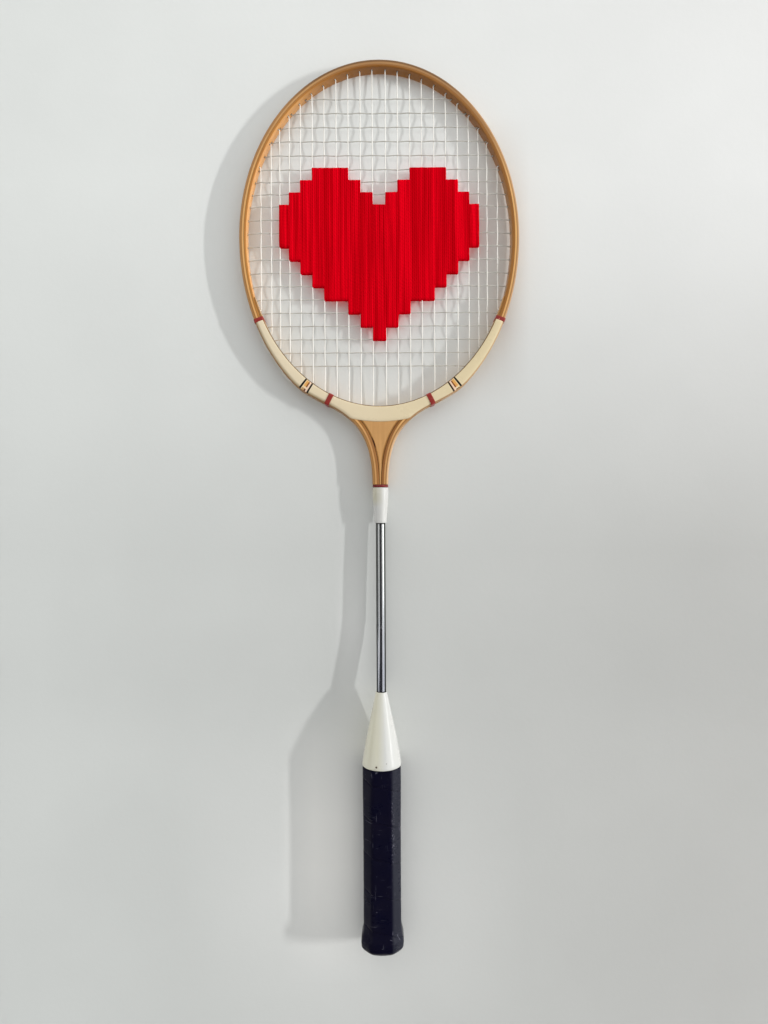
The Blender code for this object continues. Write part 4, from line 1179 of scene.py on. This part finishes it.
def stringCurve(name, points, material, replaced):
    curve = bpy.data.curves.new(name, "CURVE")
    curve.dimensions, curve.use_fill_caps = "3D", True
    curve.bevel_depth, curve.bevel_resolution = strung["radius"], 2
    spline = curve.splines.new("POLY")
    spline.points.add(len(points) - 1)
    for curvePoint, point in zip(spline.points, points):
        curvePoint.co = (*point, 1)
    curve.materials.append(material)
    return register(addObject(name, curve), replaced)


def grooveRun(first, second, slack=0.0):
    # along the groove from one hole to the next; a slack run stands off in its middle
    a, b = first["place"], second["place"]
    between = range(math.ceil(min(a, b)), math.floor(max(a, b)) + 1)
    turns = [i for i in between if min(abs(i - a), abs(i - b)) > strung["turnGap"]]
    if a > b:
        turns.reverse()
    points = []
    for i in turns:
        bulge = slack * math.sin(math.pi * (i - a) / (b - a))
        points.append(deep(grooveLine[i] + bulge * bowStations[i][1], first["y"]))
    return points


def tieEnd(end, step):
    points, place, length = [], end["place"], 0.0
    while length < strung["tieLength"]:
        index = int(place)
        length += strung["tieStep"] * (grooveLine[index + 1] - grooveLine[index]).length
        place += strung["tieStep"] * step
        points.append(deep(grooveLine[int(place)].lerp(grooveLine[int(place) + 1], place % 1), end["y"]))
    return points


def throughHole(end, inward):
    # the short way between the groove and the bed, with a soft bend at the mouth
    outer, inner = deep(end["exit"], end["y"]), deep(end["bend"], end["y"])
    points = [outer] + [outer.lerp(inner, share) for share in strung["mouthShares"]] + [inner]
    return points if inward else points[::-1]


def mainRun(index, start, stop):
    # a main gives way a little, away from each cross that it passes
    points, room = [], strung["endRoom"]
    for row, z in enumerate(crosses):
        if min(start.y, stop.y) + room < z < max(start.y, stop.y) - room:
            side = 1 if (index + row) % 2 else -1
            points.append(Vector((start.x, strung["bedDepth"] - side * strung["mainGive"], z)))
    if start.y < stop.y:
        points.reverse()
    return points


def mainRoute():
    halves = []
    indexes = range(len(mains))
    for side, order in ((1, indexes[mainCount:]), (-1, indexes[mainCount - 1::-1])):
        route = []
        for k, index in enumerate(order):
            start, stop = mainHoles[index] if k % 2 == 0 else mainHoles[index][::-1]
            route += throughHole(start, True) + mainRun(index, start["bend"], stop["bend"]) + throughHole(stop, False)
            if k + 1 < mainCount:
                following = mainHoles[order[k + 1]][0 if k % 2 else 1]
                slack = strung["slack"] if side < 0 and k in strung["slackRuns"] else 0.0
                route += grooveRun(stop, following, slack)
        route += tieEnd(mainHoles[order[-1]][1], side)
        halves.append(route)
    middle = grooveRun(mainHoles[mainCount - 1][0], mainHoles[mainCount][0])
    return halves[1][::-1] + middle + halves[0]


def crossRow(row, left, right):
    # the cross weaves behind and in front of the mains on a smooth wave
    passing = []
    for index, x in enumerate(mains):
        room = right["bend"].x - abs(x)
        if room >= strung["sideRoom"]:
            side = 1 if (index + row) % 2 or room < strung["tightRoom"] else -1
            passing.append((x, strung["bedDepth"] + side * strung["crossGive"]))
    points = []
    for (x, y), (nextX, nextY) in zip(passing, passing[1:]):
        for share in strung["weaveShares"]:
            points.append(Vector((x + (nextX - x) * share, y + (nextY - y) * eased(share), left["bend"].y)))
    points.append(Vector((passing[-1][0], passing[-1][1], left["bend"].y)))
    return points


def crossRoute():
    route = tieEnd(crossHoles[0][0], 1)[::-1]
    for row, (left, right) in enumerate(crossHoles):
        points = throughHole(left, True) + crossRow(row, left, right) + throughHole(right, False)
        leaving = right
        if row % 2:
            points.reverse()
            leaving = left
        route += points
        if row + 1 < len(crossHoles):
            route += grooveRun(leaving, crossHoles[row + 1][0 if row % 2 else 1])
    odd = len(crossHoles) % 2
    return route + tieEnd(crossHoles[-1][odd], 1 if odd else -1)


mainNylon = stringMaterial("mainStringNylon", *strung["mainNylon"])
# crosses in painted shade
crossNylonInShade = stringMaterial("crossStringNylonInShade", *strung["crossNylonInShade"])
stringCurve("mainString", mainRoute(), mainNylon, ["main_string"])
stringCurve("crossString", crossRoute(), crossNylonInShade, ["cross_string"])
for drill in drills:
    bpy.data.objects.remove(drill)
print("strings woven")

# heart of red yarn: for each gap between mains, the cross at its top and the cross at its bottom
heart = {
    "half": ((9, 12), (8, 13), (7, 14), (6, 15), (6, 16), (6, 16), (7, 17), (8, 18), (9, 19)),
    "firstMain": 2, "strands": 6, "halfWidth": 0.00100, "halfThickness": 0.00052, "sides": 8,
    "front": -0.00240, "back": 0.00120, "crest": 0.00080, "tail": 0.0045, "step": 0.0024, "seed": 7,
    # uneven winding: how far a crest, a strand sideways and a strand in depth may stray
    "crestPlay": (-0.00010, 0.00012), "sway": 0.00012, "bow": 0.00008,
    "crestTurns": (0, 40, 90, 140, 180), "runShares": (0.12, 0.36, 0.64, 0.88),
    "plies": 3.0, "twistPitch": 0.0026, "furrowShade": (0.30, 0.0, 0.002),
    "red": (0.67, 0.0002, 0.0070), "dark": (0.46, 0.0, 0.0040), "light": (0.76, 0.0006, 0.0095),
}


def yarnMaterial():
    material = newMaterial("redYarn", heart["red"], 0.9, Specular_IOR_Level=0.0)
    streaks = noiseTexture(objectPlace((560, 200, 10)), 1.0, 2.0)
    tone = mixColor(remap(streaks, 0.34, 0.62), heart["dark"], heart["light"])
    broad = noiseTexture(objectPlace((170, 40, 5), shift=(4, 0, 1)), 1.0, 1.0)
    tone = mixColor(remap(broad, 0.50, 0.66, 0.0, 0.75), tone, heart["dark"])
    lie = split(attribute("strand", "Vector"))
    angle = maths("ARCTAN2", lie["Y"], lie["X"])
    twist = plus(times(angle, heart["plies"]), times(lie["Z"], 2 * math.pi / heart["twistPitch"]))
    ply = maths("SINE", twist)
    fibres = noiseTexture(objectPlace((3200, 3200, 1500)), 1.0, 3.0)
    # painted shade in the furrows between the plies
    tone = mixColor(remap(ply, -1.0, -0.2, 0.16, 0.0), tone, heart["furrowShade"])
    dress(tone, None, plus(times(ply, 0.7), fibres), 0.3, 0.00016)
    return material


def yarnTube(points):
    # a flat tube along points by extruding its end face, with its turn and length kept for the twist
    bm = bmesh.new()
    corner = bm.verts.layers.int.new("corner")
    strand = bm.verts.layers.float_vector.new("strand")
    face = bm.faces.new([bm.verts.new() for _ in range(heart["sides"])])
    for index, vert in enumerate(face.verts):
        vert[corner] = index
    length = 0.0
    for index, point in enumerate(points):
        if index:
            length += (point - points[index - 1]).length
            face = pushFace(bm, face)
        tangent = (points[min(index + 1, len(points) - 1)] - points[max(index - 1, 0)]).normalized()
        across = (Vector((1, 0, 0)) - tangent * tangent.x).normalized() * heart["halfWidth"]
        other = tangent.cross(across).normalized() * heart["halfThickness"]
        for vert in face.verts:
            turn = 2 * math.pi * vert[corner] / heart["sides"]
            vert.co = point + math.cos(turn) * across + math.sin(turn) * other
            vert[strand] = (math.cos(turn), math.sin(turn), length)
    return bm


def smoothRoute(points, step):
    # a rounded path through the points (Catmull-Rom), sampled about every step
    padded = [points[0]] + list(points) + [points[-1]]
    route = []
    for p0, p1, p2, p3 in zip(padded, padded[1:], padded[2:], padded[3:]):
        count = max(1, round((p2 - p1).length / step))
        for i in range(count):
            t = i / count
            linear = (p2 - p0) * t
            square = (2 * p0 - 5 * p1 + 4 * p2 - p3) * t * t
            route.append(0.5 * (2 * p1 + linear + square + (3 * p1 - p0 - 3 * p2 + p3) * t ** 3))
    return route + [points[-1]]


def yarnRoute(left, right, top, bottom, chance):
    # one unbroken winding: under the bottom cross, up in front, over the top cross, down behind
    pitch = (right - left) / heart["strands"]
    front, back = heart["front"], heart["back"]
    bed, reach = (front + back) / 2, (back - front) / 2
    x = left + pitch / 2
    points = [Vector((x, back, bottom + heart["tail"]))]

    def crest(side, z):
        lift = heart["crest"] + chance.uniform(*heart["crestPlay"])
        for degrees in heart["crestTurns"]:
            angle = math.radians(degrees)
            points.append(Vector((x, bed - side * reach * math.cos(angle), z + side * lift * math.sin(angle))))

    for loop in range(heart["strands"]):
        crest(-1, bottom)
        for share in heart["runShares"]:
            sway, play = (chance.uniform(-heart[key], heart[key]) for key in ("sway", "bow"))
            points.append(Vector((x + sway, front + play, bottom + (top - bottom) * share)))
        crest(1, top)
        if loop + 1 < heart["strands"]:
            for share in heart["runShares"]:
                play = chance.uniform(-heart["bow"], heart["bow"])
                points.append(Vector((x + pitch * share, back + play, top + (bottom - top) * share)))
            x += pitch
    points.append(Vector((x, back, top - heart["tail"])))
    return smoothRoute(points, heart["step"])


def buildHeart():
    material = yarnMaterial()
    chance = random.Random(heart["seed"])
    columns = list(heart["half"]) + list(heart["half"][-2::-1])
    for number, (top, bottom) in enumerate(columns, start=1):
        main = heart["firstMain"] + number - 1
        route = yarnRoute(mains[main], mains[main + 1], crosses[top - 1], crosses[bottom - 1], chance)
        node = f"heart_yarn_{number:02d}"
        finishMesh(f"heartYarn{number:02d}", yarnTube(route), material, [node], 80, weld=0)


buildHeart()
print("heart wound")

# lines of (radius, rise) for the collar and the ferrule, with z from the named end
shaft = {
    "radius": 0.0035, "bore": 0.0028, "top": -0.2760, "bottom": -0.5230,
    "collarTop": -0.3094, "collarBottom": -0.3112, "ferruleTop": -0.3114, "ferruleBottom": -0.3378,
    "collarUpper": ((0.00565, 0.0), (0.00585, -0.0005)), "collarLower": ((0.00585, 0.0005), (0.00565, 0.0)),
    "collarBore": 0.0038, "collarRed": (0.19, 0.009, 0.010), "collarDull": (0.11, 0.006, 0.007),
    "ferruleUpper": (
        (0.00560, 0.0), (0.00583, -0.0006), (0.00580, -0.0050), (0.00572, -0.0090), (0.00545, -0.0130),
        (0.00512, -0.0170), (0.00480, -0.0208),
    ),
    "ferruleLower": ((0.00464, 0.0030), (0.00455, 0.0006), (0.00435, 0.0)), "ferruleBore": 0.00352,
    "white": (0.585, 0.585, 0.560), "agedAndLit": (0.530, 0.505, 0.370), "agedHeights": (-0.3240, -0.3180),
    "whiteDirt": (0.60, 0.55, 0.44), "whiteSpeck": (0.09, 0.08, 0.07),
    "steel": (0.64, 0.66, 0.65), "edgeTint": (0.25, 0.25, 0.24, 1), "edgeDarkReflection": (0.13, 0.135, 0.125),
    "dirt": (0.50, 0.50, 0.50), "speck": (0.10, 0.07, 0.05),
    # the steel is duller and bluer towards the handle, and dark with painted shade where it leaves the ferrule and
    # meets the cone
    "dullTint": (0.80, 0.81, 0.92), "dullHeights": (-0.37, -0.45),
    "ringHeights": (-0.3386, -0.4637), "ringWidth": 0.0007, "ringShade": (0.03, 0.03, 0.026),
}


def steelMaterial():
    steel = shaft["steel"]
    material = newMaterial("brightSteel", steel, 0.10, 1.0, Specular_Tint=shaft["edgeTint"])
    marks = wear(0.8, 1.0, 1.0)
    rings = noiseTexture(objectPlace((200, 200, 5200)), 1.0, 3.0)
    tone = mixColor(times(marks["Smudge"], 0.25), steel, shaft["dirt"])
    # painted reflection: the steel's colour darkens towards the tube's edges
    facing = addNode("ShaderNodeLayerWeight", {"Blend": 0.5}).outputs["Facing"]
    tone = mixColor(remap(facing, 0.26, 0.38), tone, shaft["edgeDarkReflection"])
    tone = mixColor(marks["Speck"], tone, shaft["speck"])
    height = objectParts()["Z"]
    tone = mixColor(remap(height, *shaft["dullHeights"]), tone, tinted(tone, shaft["dullTint"]))
    # painted shade in rings where the tube meets the ferrule and the cone
    for low in shaft["ringHeights"]:
        tone = mixColor(band(height, low, low + shaft["ringWidth"], 0.0001), tone, shaft["ringShade"])
    rough = plus(smudged(marks, 0.10, 0.20), times(marks["Scratch"], 0.3))
    rough = plus(rough, remap(rings, 0.3, 0.7, 0.0, 0.05))
    dress(tone, rough, minus(rings, marks["Scratch"]), 0.10, 0.00003)
    return material


def whiteMaterial(name, finish):
    # glossy white, yellower on the left between two heights, the more the higher: yellowing on the ferrule, and on
    # the cone also painted light, lighter than its white
    material = newMaterial(name, finish["white"], 0.3, Coat_Weight=0.7, Coat_Roughness=0.05)
    marks = wear(0.5, 0.7, 1.0)
    place = objectParts()
    cloud = noiseTexture(objectPlace(), 90, 3.0)
    height = plus(place["Z"], times(cloud, 0.004))
    zone = times(remap(height, *finish["agedHeights"]), remap(place["X"], 0.0025, -0.0035))
    tone = mixColor(times(zone, 0.8), finish["white"], finish["agedAndLit"])
    tone = soiled(tone, marks, 0.14, shaft["whiteDirt"], shaft["whiteSpeck"])
    relief = minus(times(cloud, 0.4), marks["Scratch"])
    dress(tone, smudged(marks, 0.18, 0.36), relief, 0.15, 0.0001)
    return material


def buildShaft():
    top, bottom, bore = shaft["collarTop"], shaft["collarBottom"], shaft["collarBore"]
    collar = placed(shaft["collarUpper"], top) + placed(shaft["collarLower"], bottom) + [(bore, bottom), (bore, top)]
    maroon = bindingMaterial("maroonCollar", shaft["collarRed"], shaft["collarDull"])
    lathe("neckCollar", collar, maroon, ["neck_collar"], bevel=0.0002)
    top, bottom, bore = shaft["ferruleTop"], shaft["ferruleBottom"], shaft["ferruleBore"]
    ferrule = placed(shaft["ferruleUpper"], top) + placed(shaft["ferruleLower"], bottom)
    plastic = whiteMaterial("ferrulePlastic", shaft)
    lathe("ferrule", ferrule + [(bore, bottom), (bore, top)], plastic, ["ferrule"], bevel=0.00015)
    radius, bore, top, bottom = (shaft[key] for key in ("radius", "bore", "top", "bottom"))
    tube = [(radius, top), (radius, bottom), (bore, bottom), (bore, top)]
    lathe("shaftTube", tube, steelMaterial(), ["shaft_tube"], bevel=0.0001)


buildShaft()
print("shaft, collar and ferrule turned")

cone = {
    "line": (
        (0.00445, -0.4652), (0.00660, -0.4752), (0.00872, -0.4852), (0.01065, -0.4945), (0.01245, -0.5040),
        (0.01395, -0.5125),
    ),
    "top": -0.4637, "bottom": -0.5180, "rim": 0.0147, "wall": 0.0013,
    # the mouth is (radius, rise) from the top, the rim (way in, rise) from the bottom, the bore (radius, z)
    "mouth": ((0.00405, 0.0), (0.00425, -0.0004), (0.00425, -0.0010)),
    "rimLine": ((0.00022, 0.0026), (0.0, 0.0012), (0.00015, 0.0003), (0.0005, 0.0)), "rimInside": (0.0, 0.0015),
    "insideDrop": 0.0006, "bore": ((0.0038, -0.4750), (0.00355, -0.4740)), "mouthBore": 0.00355,
    # painted light: the cone's left is lighter and yellower than its white
    "white": (0.580, 0.585, 0.560), "agedAndLit": (0.680, 0.660, 0.500), "agedHeights": (-0.6000, -0.5000),
}


def buildCone():
    top, bottom, rim, wall = cone["top"], cone["bottom"], cone["rim"], cone["wall"]
    outside = placed(cone["mouth"], top) + list(cone["line"])
    outside += [(rim - inward, bottom + rise) for inward, rise in cone["rimLine"]]
    inside = [(rim - wall, bottom + rise) for rise in cone["rimInside"]]
    inside += [(radius - wall, z - cone["insideDrop"]) for radius, z in cone["line"][:1:-1]]
    inside += list(cone["bore"]) + [(cone["mouthBore"], top)]
    plastic = whiteMaterial("conePlastic", cone)
    lathe(
        "handleCone", outside + inside, plastic, ["handle_cone"], steps=96, bevel=0.0001,
        smoothAngle=30,
    )


buildCone()
print("cone turned")

# the nail's line gives radius and height over its head's face
brad = {
    "line": (
        (0.0, -0.0070), (0.00040, -0.0060), (0.00040, -0.0004), (0.00066, -0.0003), (0.00063, 0.0),
        (0.0004, 0.00018), (0.0, 0.00024),
    ),
    "face": 0.01435, "offset": 0.0039, "height": -0.5151, "steel": (0.10, 0.095, 0.09), "rust": (0.16, 0.075, 0.035),
}


def buildBrads():
    material = newMaterial("bradSteel", brad["steel"], 0.5, 0.8)
    rust = remap(noiseTexture(objectPlace(), 1500, 3.0), 0.4, 0.6)
    dress(mixColor(rust, brad["steel"], brad["rust"]), remap(rust, 0, 1, 0.35, 0.75))
    for name, node, side in (("coneBradFront", "cone_brad_front", 1), ("coneBradBack", "cone_brad_back", -1)):
        bm = spun(placed(brad["line"], brad["face"]), 16, False)
        outward = Matrix.Rotation(side * math.radians(90), 4, "X")
        place = Matrix.Translation((-side * brad["offset"], 0, brad["height"])) @ outward
        bmesh.ops.transform(bm, matrix=place, verts=bm.verts)
        finishMesh(name, bm, material, [node])


buildBrads()
print("brads driven")

grip = {
    "top": -0.5184, "bottom": -0.6486, "halfWidth": 0.0142, "halfDepth": 0.0126, "facet": 0.0067,
    "flareStart": -0.6385, "flareEnd": -0.6450, "flare": 0.0016,
    "waist": 0.00025, "waistStart": -0.5350, "waistEnd": -0.5650,
    "thickness": 0.0015, "pitch": 0.0267, "seamGap": 0.00015, "seamHeight": -0.5361,
    "cornerShare": 0.16, "facetPerInset": 0.586, "facetPerSwell": 0.3,
    "seamDip": 0.00020, "seamSlope": 0.0012, "fallShares": (0.0, 0.25, 0.6, 1.0), "faceShares": (0.36, 0.50, 0.64),
    "slopeShare": 0.3, "flatShares": (0.32, 0.5, 0.68),
    "topStart": 0.0012, "bottomEnd": 0.0016, "mapFacet": 0.012,
    # hollows: depth, how often round and along, place in the noise; a flat facet is less hollow
    "dents": ((0.00020, 0.9, 95, 2.0), (0.00010, 3.0, 300, 5.0)), "flatFill": 0.00006,
}


def easedShare(z, start, end):
    return eased(min(1.0, max(0.0, (start - z) / (start - end))))


def gripSwell(z):
    # a slight waist, then the flare at the butt
    flared = easedShare(z, grip["flareStart"], grip["flareEnd"])
    waist = grip["waist"] * easedShare(z, grip["waistStart"], grip["waistEnd"]) * (1 - flared)
    return grip["flare"] * flared - waist


def gripCorners(z, inset):
    swell = gripSwell(z) - inset
    w, d = grip["halfWidth"] + swell, grip["halfDepth"] + swell
    f = grip["facet"] - grip["facetPerInset"] * inset + grip["facetPerSwell"] * gripSwell(z)
    corners = ((w - f, -d), (w, f - d), (w, d - f), (w - f, d), (f - w, d), (-w, d - f), (-w, f - d), (f - w, -d))
    return [Vector(corner) for corner in corners]


def gripPoint(turn, z, inset):
    # a point on the rounded octagon; turn counts facets, from the front right corner
    corners = gripCorners(z, inset)
    share = grip["cornerShare"]
    index, t = int(turn // 1) % 8, turn % 1
    here, following = corners[index], corners[(index + 1) % 8]
    point = here.lerp(following, t)
    if t < share or t > 1 - share:
        if t < share:
            corner, before, after, u = here, corners[index - 1], following, 0.5 + 0.5 * t / share
        else:
            corner, before, after, u = following, here, corners[(index + 2) % 8], 0.5 * (t - 1 + share) / share
        a, b = corner.lerp(before, share), corner.lerp(after, share)
        point = a * (1 - u) ** 2 + corner * 2 * u * (1 - u) + b * u * u
    return Vector((point.x, point.y, z))


leather = {
    "black": (0.0030, 0.0030, 0.0125), "folds": (0.0060, 0.0045, 0.0135), "dirt": (0.011, 0.009, 0.018),
    "scuff": (0.15, 0.15, 0.19),
    # painted reflection: the front right facet is lighter, where the window shows in its gloss, and its ridge is
    # rubbed pale where the hand holds it
    "litFacetWidths": (0.0068, 0.0084), "litFacetDepths": (-0.0030, -0.0050), "facet": (0.019, 0.020, 0.030),
    "ridgeWidths": (0.0072, 0.0090, 0.0006), "ridgeHeights": (-0.585, -0.540, 0.008),
    "ridgeDepths": (-0.0085, -0.0100),
}


def leatherMaterial():
    black = leather["black"]
    material = newMaterial("blackLeather", black, 0.32, Specular_IOR_Level=0.12)
    marks = wear(1.0, 1.0, 1.0)
    place = objectPlace()
    cells = addNode("ShaderNodeTexVoronoi", {"Vector": place, "Scale": 1500.0}, feature="DISTANCE_TO_EDGE")
    creases = noiseTexture(objectPlace((1, 1, 2.4), (0.4, 0.3, 0)), 210, 5.0, 0.65)
    folds = noiseTexture(place, 60, 3.0)
    shine = remap(plus(times(folds, 0.6), times(creases, 0.4)), 0.38, 0.62)
    tone = mixColor(times(shine, 0.4), black, leather["folds"])
    tone = mixColor(remap(marks["Smudge"], 0.4, 1.0, 0, 0.3), tone, leather["dirt"])
    scuffs = times(plus(marks["Scratch"], marks["Speck"], clamp=True), 0.6)
    spot = split(place)
    # painted reflection on the front right facet
    facet = times(remap(spot["X"], *leather["litFacetWidths"]), remap(spot["Y"], *leather["litFacetDepths"]))
    tone = mixColor(facet, tone, leather["facet"])
    ridge = times(band(spot["X"], *leather["ridgeWidths"]), band(spot["Z"], *leather["ridgeHeights"]))
    flecks = remap(noiseTexture(objectPlace((1, 1, 0.7)), 1100, 3.0), 0.56, 0.66)
    rubbed = times(ridge, flecks, remap(spot["Y"], *leather["ridgeDepths"]), 0.8)
    scuffs = plus(scuffs, rubbed, clamp=True)
    height = plus(times(remap(cells.outputs["Distance"], 0.0, 0.25), 0.2), creases)
    rough = remap(shine, 0, 1, 0.24, 0.38)
    dress(mixColor(scuffs, tone, leather["scuff"]), rough, minus(height, marks["Scratch"]), 0.12, 0.00015)
    return material


blackLeather = leatherMaterial()


def stripProfile(high, low):
    # the strip's cross-section from its upper edge, over its face, to its lower edge and back inside
    dip, span, back = grip["seamDip"], high - low, grip["thickness"]
    slope = min(grip["seamSlope"], grip["slopeShare"] * span)
    falls = [(slope * share, dip * (1 - share) ** 2) for share in grip["fallShares"]]
    profile = [(high - reach, inset) for reach, inset in falls]
    profile += [(high - span * share, 0.0) for share in grip["faceShares"]]
    profile += [(low + reach, inset) for reach, inset in reversed(falls)]
    return profile + [(low, back), ((high + low) / 2, back), (high, back)]


def leatherDent(turn, z, inset, flat):
    # hollows of the hand's grip and small puckers, never proud of the strip's face
    if inset >= grip["thickness"]:
        return inset
    dent = 0.0
    for depth, around, along, layer in grip["dents"]:
        dent += depth * noise.noise(Vector((turn * around, z * along, layer)))
    return inset + max(dent - (grip["flatFill"] if flat else 0.0), 0.0)


def buildGrip():
    pitch, top, bottom = grip["pitch"], grip["top"], grip["bottom"]
    width = pitch - grip["seamGap"]
    turnsBefore = math.ceil((top - grip["seamHeight"]) / pitch) + 1
    seam = grip["seamHeight"] + turnsBefore * pitch
    corner = grip["cornerShare"]
    shares = (0.0, corner * 0.5, corner, *grip["flatShares"], 1 - corner, 1 - corner * 0.5)
    rings, marks = [], []
    for facet in range(math.ceil(8 * (seam - bottom) / pitch) + 1):
        for share in shares:
            turn = facet + share
            upper = seam - pitch * turn / 8
            if upper - width > top - grip["topStart"] or upper < bottom + grip["bottomEnd"]:
                continue
            profile = stripProfile(min(upper, top), max(upper - width, bottom))
            flat = share in grip["flatShares"]
            rings.append([gripPoint(turn + 1, z, leatherDent(turn, z, inset, flat)) for z, inset in profile])
            marks.append([(turn * grip["mapFacet"], z) for z, _ in profile])
    finishMesh("leatherGrip", sweptMesh(rings, marks), blackLeather, ["leather_grip"], 40)


buildGrip()
print("grip wound")

# the cap's levels give height over the bottom, inset from the grip's face, and how round the octagon has become
butt = {
    "bottom": -0.6556,
    "levels": (
        (0.00685, 0.00025, 0.0), (0.0058, 0.0002, 0.0), (0.0046, 0.0006, 0.1), (0.0034, 0.0013, 0.25),
        (0.0024, 0.0022, 0.45), (0.0015, 0.0033, 0.65), (0.0008, 0.0045, 0.8), (0.0003, 0.0058, 0.92),
        (0.00005, 0.0071, 1.0),
    ),
    "hollow": ((0.00000, 0.0042), (0.0003, 0.0034), (0.0019, 0.0033)),
    "facetShares": (0.0, 0.08, 0.16, 0.4, 0.6, 0.84, 0.92), "dent": 0.012, "dentScale": 160,
}


def buildButtCap():
    # a rounded end below the octagon, with a hollow for the tack's head
    turns = [facet + share for facet in range(8) for share in butt["facetShares"]]
    rings = []
    for rise, inset, roundness in butt["levels"]:
        z = butt["bottom"] + rise
        halfWidth, halfDepth = (grip[key] + grip["flare"] - inset for key in ("halfWidth", "halfDepth"))
        ring = []
        for turn in turns:
            point = gripPoint(turn, z, inset)
            angle = math.atan2(point.y / halfDepth, point.x / halfWidth)
            circle = Vector((halfWidth * math.cos(angle), halfDepth * math.sin(angle), z))
            hollow = max(0.0, butt["dent"] * noise.noise(point * butt["dentScale"]))
            dent = 1 - hollow * (1 - roundness)
            point = point.lerp(circle, roundness)
            ring.append(Vector((point.x * dent, point.y * dent, z)))
        rings.append(ring)
    for rise, radius in butt["hollow"]:
        z = butt["bottom"] + rise
        rings.append([Vector((point.x, point.y, 0)).normalized() * radius + Vector((0, 0, z)) for point in rings[-1]])
    marks = [[(turn * grip["mapFacet"], ring[0].z) for turn in turns] for ring in rings]
    finishMesh("buttCap", sweptMesh(rings, marks), blackLeather, ["butt_cap"], 50)


tack = {
    "line": (
        (0.0, 0.0016), (0.0029, 0.0014), (0.0030, 0.0009), (0.0026, 0.0005), (0.0015, 0.00025), (0.0, 0.0002),
    ),
    "brass": (0.55, 0.40, 0.17), "bright": (0.60, 0.44, 0.19), "dull": (0.30, 0.21, 0.09),
}


def buildTack():
    material = newMaterial("agedBrass", tack["brass"], 0.35, 1.0)
    dull = remap(noiseTexture(objectPlace(), 700, 4.0), 0.35, 0.65)
    dress(mixColor(dull, tack["bright"], tack["dull"]), remap(dull, 0, 1, 0.25, 0.55))
    finishMesh("buttTack", spun(placed(tack["line"], butt["bottom"]), 32, False), material, ["butt_tack"])


buildButtCap()
buildTack()
print("butt cap and tack fitted")

core = {"ash": (0.55, 0.38, 0.20), "pale": (0.58, 0.41, 0.22), "dark": (0.38, 0.24, 0.11)}


def coreMaterial():
    material = newMaterial("coreAsh", core["ash"], 0.6)
    streaks = noiseTexture(objectPlace((900, 900, 30)), 1.0, 3.0)
    dress(mixColor(remap(streaks, 0.35, 0.65), core["pale"], core["dark"]), None, streaks, 0.2, 0.0001)
    return material


# the wooden core keeps the frame's own mesh
coreMaterials = nodes["handle_core"].data.materials
coreMaterials.clear()
coreMaterials.append(coreMaterial())
print("core finished")
